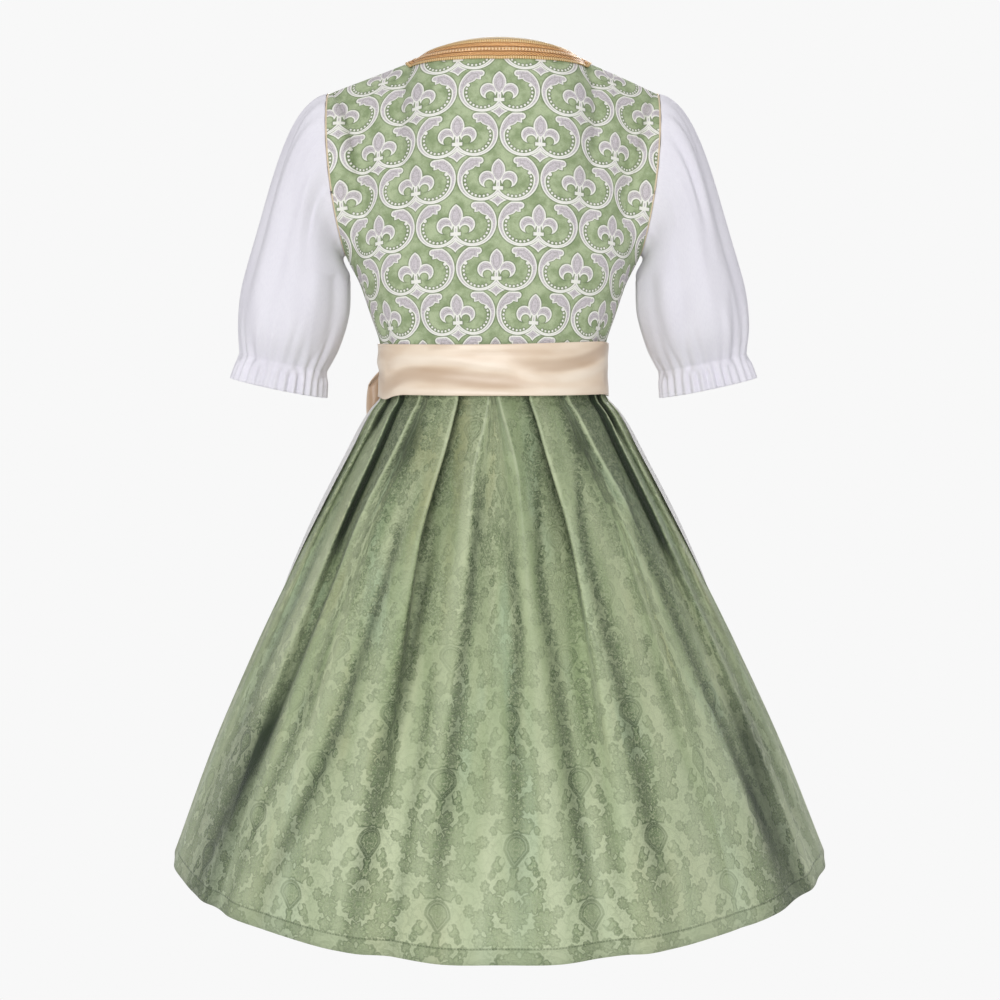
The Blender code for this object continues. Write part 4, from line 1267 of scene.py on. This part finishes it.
# long soft folds: half width in degrees, depth, how much painted shade, then (depth down, degrees) along each
skirtStreaks = (
    (2.4, 0.0042, 0.41, ((0.12, 32.0), (0.23, 33.5), (0.34, 35.3), (0.5, 42.0))),
    (2.2, 0.004, 0.38, ((0.14, 20.3), (0.28, 22.2), (0.4, 23.3), (0.52, 24.0))),
    (1.9, 0.0037, 0.38, ((0.08, 5.6), (0.22, 7.2), (0.32, 8.6), (0.48, 10.5))),
    (1.8, 0.0035, 0.3, ((0.14, -2.5), (0.24, -5.4), (0.34, -3.2), (0.46, -2.7))),
    (2.2, 0.004, 0.38, ((0.08, -18.3), (0.21, -12.3), (0.29, -13.1), (0.51, -14.5))),
    (2.4, 0.0042, 0.41, ((0.07, -36.0), (0.19, -27.6), (0.3, -27.8), (0.5, -27.0))),
    (2.6, 0.004, 0.38, ((0.1, -55.0), (0.18, -50.4), (0.28, -51.5), (0.5, -57.0))),
    (2.6, 0.0037, 0.35, ((0.14, 52.4), (0.24, 53.5), (0.34, 55.0), (0.52, 61.0))),
    (1.6, 0.0023, 0.18, ((0.26, 14.5), (0.34, 15.5), (0.56, 17.5))),
    (1.6, 0.0023, 0.18, ((0.28, -20.5), (0.36, -20.0), (0.56, -20.5))),
    (1.8, 0.0023, 0.18, ((0.24, -39.0), (0.34, -40.0), (0.56, -42.0))),
    (1.8, 0.0023, 0.18, ((0.26, 44.0), (0.36, 46.0), (0.56, 51.0))),
    (8.0, 0.001, 0.38, ((0.32, 61.0), (0.45, 63.0), (0.58, 64.0))),
    (8.0, 0.001, 0.42, ((0.32, -61.0), (0.4, -60.0), (0.47, -55.0), (0.6, -53.0))),
    (4.0, 0.0026, 0.18, ((0.16, 70.0), (0.3, 70.0), (0.54, 74.0))),
    (4.0, 0.0026, 0.13, ((0.16, -70.0), (0.3, -69.0), (0.54, -73.0))),
    (3.2, 0.0022, 0.05, ((0.3, 92.0), (0.38, 92.0), (0.54, 90.0))),
    (3.2, 0.0022, 0.05, ((0.3, -91.0), (0.38, -93.0), (0.54, -92.0))),
    (3.2, 0.0034, 0.24, ((0.16, 115.0), (0.3, 114.0), (0.54, 112.0))),
    (3.2, 0.0034, 0.24, ((0.16, -114.0), (0.3, -115.0), (0.54, -113.0))),
    (3.2, 0.0031, 0.21, ((0.18, 136.0), (0.3, 135.0), (0.54, 133.0))),
    (3.2, 0.0031, 0.21, ((0.16, -135.0), (0.3, -136.0), (0.54, -134.0))),
)
streakPlaces = pathsOf(skirtStreaks)


def streaksOn(angle, depth):  # (how deep the soft folds are there, how much painted shade, less the painted highlight beside them)
    deep, dark = 0.0, 0.0
    darker, paler = skirt["streakPaintedShading"]
    for (width, most, paintedShading, line), place in zip(skirtStreaks, streakPlaces):
        start, end = line[0][0], line[-1][0]
        if start < depth < end + 0.06:
            off = angle - place(depth)
            if abs(off) < 3 * width:
                fade = ease((depth - start) / 0.08) * (1 - ease((depth - end + 0.10) / 0.20))
                deep += most * fade * bell(off, width)
                dark += darker * paintedShading * fade * bell(off + 0.2 * width, 0.8 * width)
                dark -= paler * paintedShading * fade * bell(off - 2.0 * width, width)
    return deep, dark


skirtSizes = curvesOf(skirt["outline"])
hemDepth = skirt["outline"][-1][0]


def foldEdge(k, depth):
    waist, hem = skirt["pleats"][k]
    return blend(waist, hem, ease(depth / skirt["opens" if k else "middleOpens"]))


def pleatWidth(k, depth):  # degrees from one fold edge to the next
    following = foldEdge(k + 1, depth) if k + 1 < len(skirt["pleats"]) else 180
    return following - foldEdge(k, depth)


def skirtEllipse(angle, depth, inward):  # (point, way out of the skirt), moved in from the crests
    halfWidth = skirtSizes[0](depth)
    halfDepth = halfWidth * skirtSizes[1](depth) - inward
    halfWidth -= inward
    s, c = sinCos(angle)
    point = Vector((halfWidth * s, halfDepth * c, skirt["top"] - depth * (1 + skirt["hemDip"] * c * c)))
    return point, Vector((s / halfWidth, c / halfDepth, 0.0)).normalized()


def swing(depth):  # how far the cloth at a depth hangs sideways
    top, more = skirt["sideways"]
    return Vector((top * ease(depth / 0.06) + more * (depth / hemDepth) ** 2, 0.0, 0.0))


def skirtPoint(count, depth, side):
    # a point of one half, as if on the left; count runs along the cloth in pleats
    height, lean = skirtSizes[2](depth), skirtSizes[3](depth)
    k = math.floor(count)
    share = count - k
    edge, width = foldEdge(max(k, 0), depth), pleatWidth(max(k, 0), depth)
    if k < 0:  # half of the valley at the centre back
        base = edge - (edge + 2 * lean * width) * (1 - share) * 2
    elif k == len(skirt["pleats"]) - 1:  # half of the one at the centre front
        base = edge + (width - 2 * lean * width) * share * 2
    else:
        base = edge + width * share
        width = blend(width, pleatWidth(k + 1, depth), ease(share))
    turn = 2 * math.pi * count
    way, deepTop, deepLow = skirt["ways"].get(k, (1.0, 1.0, 1.0))
    deep = blend(deepTop, deepLow, ease((depth - 0.04) / 0.05))
    angle = base + way * lean * width * (1 - math.cos(turn))
    place, shift, wide = skirt["uneven"]
    angle += side * shift * bell(angle - place, wide)
    crisp = blend(*skirt["crisp"], ease(depth / 0.35))
    wave = 1 - 2 * deep * abs(math.sin(turn / 2)) ** crisp
    pressed, pressedWide = skirt["pressed"]
    height *= 1 - pressed * bell(angle - 90, pressedWide)
    point, outward = skirtEllipse(angle, depth, height)
    return point + outward * (height * wave), outward, angle


def skirtHalf(bare, depths, side):  # (columns with the soft folds on them, how much painted shade each point gets)
    columns, paintedShadings = [], []
    for i, column in enumerate(bare):
        made, darker = [], []
        for (point, outward, angle), depth in zip(column, depths):
            deep, dark = streaksOn(side * angle, depth)
            place = Vector((side * point.x, point.y, point.z)) + swing(depth)
            place -= Vector((side * outward.x, outward.y, 0.0)) * deep
            if i in (0, len(bare) - 1):
                place.x = swing(depth).x
            made.append(place)
            darker.append(dark)
        columns.append(made)
        paintedShadings.append(darker)
    return columns, paintedShadings


def flatPlaces(bare, counts, rows):  # every fold edge keeps its place on the flat cloth, as at the hem
    per = skirt["perPleat"]
    hem = lengthsAlong([column[-1][0] for column in bare])
    first = counts.index(0.0)
    flat = []
    for r in range(rows):
        run = lengthsAlong([column[r][0] for column in bare])
        places = []
        for i, count in enumerate(counts):
            k = math.floor(count + 1e-9)
            if k < 0:
                places.append(run[i] * hem[first] / max(run[first], 1e-6))
                continue
            crest = first + k * per
            following = min(crest + per, len(counts) - 1)
            short = hem[following] - hem[crest] - run[following] + run[crest]
            places.append(hem[crest] + run[i] - run[crest] + short * ease(((i - crest) / per - 0.6) / 0.3))
        flat.append(places)
    return flat


def paintedSlitShading(count, depth):  # painted shade in the valley between two fold edges, and a painted highlight along the edges themselves
    k = math.floor(count)
    share = count - k
    sharp = skirt["slitPaintedShade"] * (1 - ease((depth - 0.04) / 0.34))
    inner = ease((share - 0.28) / 0.26) ** 1.7 * (1 - ease((share - 0.90) / 0.08))
    slit = blend(1.0, 0.5, ease(count - 2.5))
    if k == 1:  # a short slit
        slit = 0.2 + 0.6 * bell(depth - 0.075, 0.035)
    elif k == 3:  # painted shade right under the sash only
        slit = blend(1.2, 0.15, ease((depth - 0.050) / 0.035))
    dark = sharp * slit * inner * (1 - 0.97 * bell(count - 5.0, 0.9))
    if k < 0:  # the middle valley gets a little painted highlight at its top and a little painted shade below
        dark = blend(-0.06, 0.12, ease((depth - 0.07) / 0.06)) * (1 - ease((depth - 0.2) / 0.1))
    if k == 2:  # the deepest slit, painted dark, with painted shade on the slope before it
        slit = 1.15 - 0.80 * ease((depth - 0.15) / 0.1)
        dark = slit * ease((share - 0.40) / 0.16) * (1 - ease((share - 0.93) / 0.06))
        dark += 0.42 * sharp * ease((share - 0.02) / 0.06) * (1 - ease((share - 0.40) / 0.16))
    # painted shade under the sash
    dark += skirt["waistPaintedShade"] * (1 - ease((depth - 0.04) / 0.20)) * ease(count + 0.5)
    # painted highlight along each fold edge
    crest = skirt["crestPaintedHighlight"] * (1 - ease((depth - 0.02) / 0.22))
    return dark - crest * bell(count - round(count), 0.025)


def skirtCloth():
    counts = [-0.5 + i / skirt["perPleat"] for i in range(len(skirt["pleats"]) * skirt["perPleat"] + 1)]
    depths = [hemDepth * (r / skirt["rows"]) ** 1.08 for r in range(skirt["rows"] + 1)]
    columns, shades, flats = {}, {}, {}
    for side in (1, -1):
        bare = [[skirtPoint(count, depth, side) for depth in depths] for count in counts]
        columns[side], shades[side] = skirtHalf(bare, depths, side)
        flats[side] = flatPlaces(bare, counts, len(depths))
    slopes = [lengthsAlong([point for point, _, _ in column]) for column in bare]
    level = [sum(slope[r] for slope in slopes) / len(slopes) for r in range(len(depths))]
    rows = [list(row) for row in zip(*(columns[-1][::-1] + columns[1][1:-1]))]
    places, hemAway, folded = [], [], []
    away = [[slope[-1] - slope[r] for slope in slopes] for r in range(len(depths))]
    for r, depth in enumerate(depths):
        down = -blend(slopes[0][r], level[r], 0.5)
        places.append([(-u, down) for u in flats[-1][r][::-1]] + [(u, down) for u in flats[1][r][1:]])
        # painted shade in the valleys and soft folds, painted highlight on the fold edges
        valley = [paintedSlitShading(count, depth) for count in counts]
        left, right = ([paintedShading + shades[side][i][r] for i, paintedShading in enumerate(valley)] for side in (1, -1))
        folded += right[::-1] + left[1:-1]
        hemAway += away[r][::-1] + away[r][1:-1]
    return rows, places, hemAway, folded


rows, places, hemAway, folded = skirtCloth()
skirtPiece = addSheet("skirt_cloth", "damask", rows, places, skirt["wall"], ring=True)
giveValues(skirtPiece, "toHem", hemAway)
# the painted shade and highlight that the damask finish mixes in
giveValues(skirtPiece, "paintedFoldShading", folded)
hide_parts("skirt_back", "skirt_side_left", "skirt_side_right", "skirt_front")
print("skirt pleated")

apron = {
    # depth of the skirt below, degrees from the centre front that the edge reaches
    "edge": ((0.028, 81), (0.083, 95), (0.140, 95), (0.210, 90), (0.310, 78), (0.430, 67), (0.534, 60)),
    "top": 0.0285,
    "bottom": 0.534,
    "rows": 80,
    "columns": 220,
    "lift": 0.0026,
    "edgeLift": 0.0014,
    "gathers": 19,
    "gatherDepth": 0.0030,
    "wall": 0.0005,
}
# hanging folds: place across from edge to edge, half width, height, share down where it begins
apronFolds = (
    (-0.93, 0.05, 0.0051, 0.02),
    (-0.78, 0.045, 0.0069, 0.1),
    (-0.62, 0.04, 0.0054, 0.04),
    (-0.47, 0.052, 0.0081, 0.12),
    (-0.3, 0.036, 0.0051, 0.02),
    (-0.15, 0.046, 0.0075, 0.09),
    (0.03, 0.036, 0.0054, 0.03),
    (0.17, 0.05, 0.0081, 0.14),
    (0.34, 0.038, 0.0054, 0.04),
    (0.5, 0.05, 0.0075, 0.08),
    (0.67, 0.04, 0.006, 0.03),
    (0.81, 0.048, 0.0069, 0.11),
    (0.95, 0.045, 0.0051, 0.02),
)
apronEdge = curvesOf(apron["edge"])[0]


def apronCloth():
    a = apron
    rows = []
    for r in range(a["rows"] + 1):
        share = (r / a["rows"]) ** 1.1
        depth = blend(a["top"], a["bottom"], share)
        spread, fullness = apronEdge(depth), ease((depth - a["top"]) / 0.20)
        row = []
        for i in range(a["columns"] + 1):
            across = -1 + 2 * i / a["columns"]
            small = unevenWave(180 * across, a["gathers"], 20) * (1 - fullness) ** 1.5
            lift = a["lift"] + a["gatherDepth"] * ((1 - fullness) ** 1.5 + small)
            for place, width, height, begins in apronFolds:
                off = across - place - 0.02 * math.sin(4 * share + 9 * place)
                lift += height * ease((share - begins) / 0.30) * bell(off, width)
            lift = blend(lift, a["edgeLift"], ease((abs(across) - 0.9) / 0.1))
            point, outward = skirtEllipse(180 - across * spread, depth, 0.0)
            row.append(point + swing(depth) + outward * (lift + 0.0004))
        rows.append(row)
    runs = [lengthsAlong(column) for column in zip(*rows)]
    width = lengthsAlong(rows[-1])
    uvs = [[(width[c], -runs[c][r]) for c in range(len(runs))] for r in range(len(rows))]
    return rows, uvs


rows, uvs = apronCloth()
apronPiece = addSheet("apron_cloth", "apron_cloth", rows, uvs, apron["wall"])
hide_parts("apron")
print("apron laid on")

sash = {
    # height, half width, back, front
    "rings": (
        (-0.2968, 0.1310, 0.0913, 0.1003),
        (-0.3270, 0.1302, 0.0924, 0.1004),
        (-0.3572, 0.1312, 0.0968, 0.1022),
    ),
    "knotAngle": 135,  # where the bow is tied
    "higherBehind": 0.0030,
    "lowerBehind": 0.0042,
    "hollow": (0.0030, 70, 9),  # in the lower edge: height, place and width in degrees
    "aside": 0.0028,  # towards the wearer's right
    "swathPaintedShade": 1.15,
    "columns": 300,
    "rows": 34,
    "wall": 0.0006,
}
# swaths: half height in shares, depth, how much painted shade (below zero, painted highlight), then (degrees,
# share down) along each
sashSwaths = (
    (0.15, -0.0018, 0.46, (
        (-20, 0.92), (-12, 0.84), (-5, 0.76), (8, 0.69), (25, 0.61), (40, 0.58), (63, 0.74), (80, 0.82),
    )),
    (0.13, -0.0017, 0.48, (
        (-84, 0.06), (-70, 0.14), (-56, 0.27), (-42, 0.38), (-30, 0.43), (-14, 0.44), (-4, 0.42),
    )),
    (0.1, 0.0013, -0.3, ((-18, 0.55), (0, 0.44), (20, 0.32), (45, 0.32), (66, 0.4))),
    (0.1, 0.0012, -0.26, ((-72, 0.36), (-50, 0.56), (-30, 0.66), (-8, 0.62))),
    (0.05, -0.0006, 0.22, ((14, 0.06), (22, 0.05), (32, 0.08))),
    (0.16, -0.0008, 0.4, ((-86, 0.66), (-76, 0.66), (-66, 0.66))),
    (0.07, 0.0008, -0.3, ((-70, 0.9), (-30, 0.93), (20, 0.93), (60, 0.92))),
    (0.05, -0.0006, 0.14, ((-50, 0.15), (-25, 0.18), (5, 0.17), (25, 0.2))),
    (0.12, 0.0012, -0.24, ((66, 0.46), (84, 0.36), (104, 0.3))),
    (0.11, -0.0013, 0.28, ((70, 0.62), (92, 0.52), (116, 0.6))),
    (0.12, 0.0012, -0.24, ((-122, 0.5), (-100, 0.36), (-80, 0.46))),
    (0.11, -0.0012, 0.26, ((-128, 0.72), (-104, 0.62), (-84, 0.34))),
    (0.12, 0.0013, -0.26, ((110, 0.34), (132, 0.46), (160, 0.56))),
    (0.11, -0.0012, 0.28, ((112, 0.7), (140, 0.72), (170, 0.6))),
    (0.12, 0.0013, -0.26, ((-172, 0.36), (-148, 0.42), (-120, 0.62))),
    (0.11, -0.0012, 0.28, ((-176, 0.62), (-150, 0.68), (-118, 0.84))),
)
swathPlaces = pathsOf(sashSwaths)
sashSizes = curvesOf(sash["rings"])


def sashPoint(angle, height):
    return ellipsePoint(*(size(height) for size in sashSizes), angle, height, bodice["roundness"])


def swathsOn(angle, share):  # (how far the cloth stands out there, how much painted shade, below zero painted highlight)
    push, paintedShading = 0.0004 * math.sin(math.radians(3 * angle) + 7 * share), 0.0
    for (height, depth, dark, line), place in zip(sashSwaths, swathPlaces):
        start, end = line[0][0], line[-1][0]
        if start < angle < end:
            along = math.sin(math.pi * (angle - start) / (end - start)) ** 0.5
            off = share - place(angle)
            push += depth * along * bell(off, height)
            paintedShading += sash["swathPaintedShade"] * dark * along * math.exp(-((off / (1.1 * height)) ** 4))
    return push * ease(share / 0.08) * ease((1 - share) / 0.06), paintedShading


def sashCloth():
    top, bottom = sash["rings"][0][0], sash["rings"][-1][0]
    deep, place, wide = sash["hollow"]
    angles = [sash["knotAngle"] - 360 * i / sash["columns"] for i in range(sash["columns"])]
    angles = [angle + 360 if angle < -180 else angle for angle in angles]
    rows, paintedShadings = [], []
    for r in range(sash["rows"] + 1):
        share = r / sash["rows"]
        row = []
        for angle in angles:
            behind = ease(2 * cosOf(angle))
            high = top + sash["higherBehind"] * behind * ease((20 - angle) / 80)
            lower = sash["lowerBehind"] * ease((75 - angle) / 30) - deep * bell(angle - place, wide)
            point = sashPoint(angle, blend(high, bottom + behind * lower, share))
            point -= Vector((sash["aside"] * behind, 0.0, 0.0))
            outward = Vector((point.x, 1.9 * point.y, 0.0)).normalized()
            push, paintedShading = swathsOn(angle, share)
            row.append(point + outward * (push + 0.0009))
            paintedShadings.append(paintedShading)
        rows.append(row)
    run = lengthsAlong(rows[0] + rows[0][:1])
    uvs = [[(u, -r / sash["rows"] * (top - bottom)) for u in run] for r in range(len(rows))]
    return rows, uvs, paintedShadings


rows, uvs, paintedShadings = sashCloth()
sashPiece = addSheet("sash_band", "satin", rows, uvs, sash["wall"], ring=True)
giveValues(sashPiece, "paintedShading", paintedShadings)
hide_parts("sash")

bow = {
    "knotHalf": (0.0120, 0.0085, 0.0150),  # along the sash, out from it, upright
    "knotHeight": -0.329,
    "knotCloth": (0.04, 0.05),
    "knotSteps": (24, 48),
    "ribbonRoot": 0.020,
    "ribbonWidth": 0.050,
    # reach, out, drop, gap
    "loops": {"bow_loop_side": (0.043, 0.006, 0.044, 0.011), "bow_loop_front": (-0.062, 0.014, 0.030, 0.012)},
    # angle, length, lift, shift
    "tails": {"bow_tail_front": (145, 0.330, 0.0070, -0.0070), "bow_tail_side": (128, 0.290, 0.0085, 0.0070)},
    "tailRoot": 0.012,
    "loopSteps": 72,
    "tailSteps": 80,
    "lanes": 16,
    "loopMouth": 0.035,  # share of the loop's run that the knot hides at each end
    "cup": 0.004,  # how hollow a loop's strands are across
    "loopPleat": 0.0008,
    "tailPleat": 0.0009,
    "tailRipple": 0.0025,
    "tailCup": 0.002,
    "overApron": 0.0056,
    "wall": 0.0006,
}


def bowFrame():
    angle = sash["knotAngle"]
    place = sashPoint(angle, bow["knotHeight"])
    before, after = (sashPoint(angle + turn, bow["knotHeight"]) for turn in (-2, 2))
    along = (before - after).normalized()
    outward = Vector((-along.y, along.x, 0.0))
    return place, along, outward if outward.dot(place) > 0 else -outward


bowPlace, bowAlong, bowOut = bowFrame()


def bowKnot():
    wide, deep, tall = bow["knotHalf"]
    centre = bowPlace + bowOut * (0.0013 + deep)
    up, around = bow["knotSteps"]
    rows = []
    for r in range(up + 1):
        lift, level = sinCos(-84 + 168 * r / up)
        row = []
        for i in range(around):
            turn = 360 * i / around
            s, c = sinCos(turn)
            pinch = 1 + 0.05 * cosOf(5 * turn) * level
            a = wide * signedPower(s * level, 0.75) * pinch
            b = deep * signedPower(c * level, 0.75) * pinch
            row.append(centre + bowAlong * a + bowOut * b + upright * (tall * signedPower(lift, 0.75)))
        rows.append(row)
    high, long = bow["knotCloth"]
    uvs = [[(high * r / up, long * i / around) for i in range(around + 1)] for r in range(up + 1)]
    return addSheet("bow_knot_cloth", "satin", rows, uvs, bow["wall"], ring=True, around=centre)


def bowLoop(name, reachTo, outTo, drop, gap):
    wide, deep, _ = bow["knotHalf"]
    root = bowPlace + bowOut * (deep + 0.0016) + bowAlong * math.copysign(wide + 0.0006, reachTo)
    steps, lanes = bow["loopSteps"], bow["lanes"]
    base = math.sin(math.pi * bow["loopMouth"])
    rows = []
    for lane in range(lanes + 1):
        across = -1 + 2 * lane / lanes
        row = []
        for i in range(steps + 1):
            t = blend(bow["loopMouth"], 1 - bow["loopMouth"], i / steps)
            reach, swell = math.sin(math.pi * t), math.sin(2 * math.pi * t)
            centre = root + bowAlong * (reachTo * (reach - base))
            centre += bowOut * (outTo * reach + gap * swell * 0.5)
            centre.z -= drop * reach**1.4
            width = blend(bow["ribbonRoot"], bow["ribbonWidth"], reach**0.7)
            bulge = math.copysign(min(abs(swell) * 4, 1.0), swell)
            cup = bow["cup"] * (1 - across * across) * reach * bulge
            pleat = bow["loopPleat"] * math.cos(across * 9.0 + 2.0 * t) * (1 - reach) ** 0.6
            row.append(centre + upright * (across * width / 2) + bowOut * (cup + pleat))
        rows.append(row)
    run = lengthsAlong(rows[lanes // 2])
    uvs = [[(u, bow["ribbonWidth"] * lane / lanes) for u in run] for lane in range(lanes + 1)]
    made = addSheet(name + "_cloth", "satin", rows, uvs, bow["wall"])
    shade = [0.75 * ease((i / steps - 0.42) / 0.12) for i in range(steps + 1)]  # painted shade on its inner strand, which lies against the body
    giveValues(made, "paintedShading", shade * (lanes + 1))
    return made


def bowTail(name, angle, length, lift, shift):
    _, deep, tall = bow["knotHalf"]
    start = bowPlace + bowOut * (deep + 0.0006) + bowAlong * shift
    start.z = bow["knotHeight"] - tall - 0.0008
    steps, lanes = bow["tailSteps"], bow["lanes"]
    rows = []
    for i in range(steps + 1):
        share = i / steps
        height = start.z - share * length * 0.90
        middle, out = skirtEllipse(angle, skirt["top"] - height, 0.0)
        middle.z = height
        middle += swing(skirt["top"] - height) + out * (apron["lift"] + bow["overApron"] + lift)
        middle = start.lerp(middle, ease(share / 0.28))
        across = Vector((out.y, -out.x, 0.0))
        width = blend(bow["tailRoot"], bow["ribbonWidth"], ease(share / 0.4))
        row = []
        for lane in range(lanes + 1):
            side = -1 + 2 * lane / lanes
            ripple = bow["tailRipple"] * math.sin(2.2 * math.pi * share) * side
            cup = bow["tailCup"] * (1 - side * side)
            pleat = bow["tailPleat"] * math.cos(side * 8.0 + 1.0) * (1 - ease(share / 0.5))
            row.append(middle + across * (side * width / 2) + out * (ripple + cup + pleat))
        rows.append(row)
    runs = lengthsAlong([row[lanes // 2] for row in rows])
    uvs = [[(-run, bow["ribbonWidth"] * lane / lanes) for lane in range(lanes + 1)] for run in runs]
    return addSheet(name + "_cloth", "satin", rows, uvs, bow["wall"])


knotPiece = bowKnot()
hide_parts("bow_knot")
bowPieces = {name: bowLoop(name, *sizes) for name, sizes in bow["loops"].items()}
bowPieces |= {name: bowTail(name, *sizes) for name, sizes in bow["tails"].items()}
for name, piece in bowPieces.items():
    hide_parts(name)
print("sash and bow tied")

for name, piece in bowPieces.items():
    length = 0.095 if "loop" in name else 0.31
    "folded" if "loop" in name else "hung"

studio = {
    "cameraAway": 2.2,
    "cameraHeight": -0.27,
    "cameraShift": 0.007,
    "sensor": 36.0,
    "focal": 1913.04,  # in pixels of a view 1000 wide
    "lowered": 180,  # the middle of the view lies so many pixels under eye level
    "floor": -1.9,
    "floorSize": 14,
    "floorPaint": paint(244, 244, 244),
    "backdrop": (0.9387, 0.9387, 0.9387, 1.0),
    "fill": (0.51, 0.51, 0.5202, 1.0),
    # name, place, width, height, power, aimed at
    "lamps": (
        ("front_softbox", (0.4, 3.2, 0.25), 2.6, 1.6, 56.0, (0.0, 0.0, -0.5)),
        ("top_softbox", (-0.2, 0.6, 2.0), 1.6, 1.2, 4.0, (0.0, 0.0, -0.3)),
        ("far_softbox", (-0.6, -3.0, 0.9), 1.8, 1.6, 52.0, (0.0, 0.0, -0.45)),
    ),
}


def seenBy(tree):  # 1 for what the camera itself sees: floor and sky are then as pale as the backdrop
    return addNode(tree, "LightPath", {}).outputs["Is Camera Ray"]


bpy.ops.object.select_all(action="DESELECT")
bpy.ops.mesh.primitive_plane_add(size=studio["floorSize"], location=(0.0, 0.0, studio["floor"]))
floor = bpy.context.object
floor.name = "studio_floor"
floorFinish, floorTree, floorShader = newFinish("studio_floor")
coat(floorTree, floorShader, studio["floorPaint"], 0.9)
glow = addNode(floorTree, "Emission", {"Color": studio["backdrop"]})
pick = addNode(floorTree, "MixShader", {0: seenBy(floorTree), 1: floorShader.outputs[0], 2: glow.outputs[0]})
floorTree.links.new(pick.outputs[0], floorTree.nodes["Material Output"].inputs["Surface"])
floor.data.materials.append(floorFinish)

for name, place, width, height, power, target in studio["lamps"]:
    bpy.ops.object.light_add(type="AREA", location=place)
    lamp = bpy.context.object
    lamp.name = name
    lamp.data.shape = "RECTANGLE"
    lamp.data.size = width
    lamp.data.size_y = height
    lamp.data.energy = power
    lamp.rotation_euler = (Vector(target) - Vector(place)).to_track_quat("-Z", "Y").to_euler()

world = bpy.data.worlds.new("studio")
bpy.context.scene.world = world
world.use_nodes = True
worldTree = world.node_tree
sky = mixPaint(worldTree, seenBy(worldTree), studio["fill"], studio["backdrop"])
worldTree.links.new(sky, worldTree.nodes["Background"].inputs["Color"])

bpy.ops.object.camera_add(
    location=(0.0, studio["cameraAway"], studio["cameraHeight"]),
    rotation=(math.pi / 2 - math.atan(studio["lowered"] / studio["focal"]), 0.0, math.pi),
)
camera = bpy.context.object
camera.data.sensor_width = studio["sensor"]
camera.data.lens = studio["sensor"] * studio["focal"] / 1000
camera.data.shift_x = studio["cameraShift"]
bpy.context.scene.camera = camera
bpy.context.scene.view_settings.view_transform = "Standard"
print("studio set up")
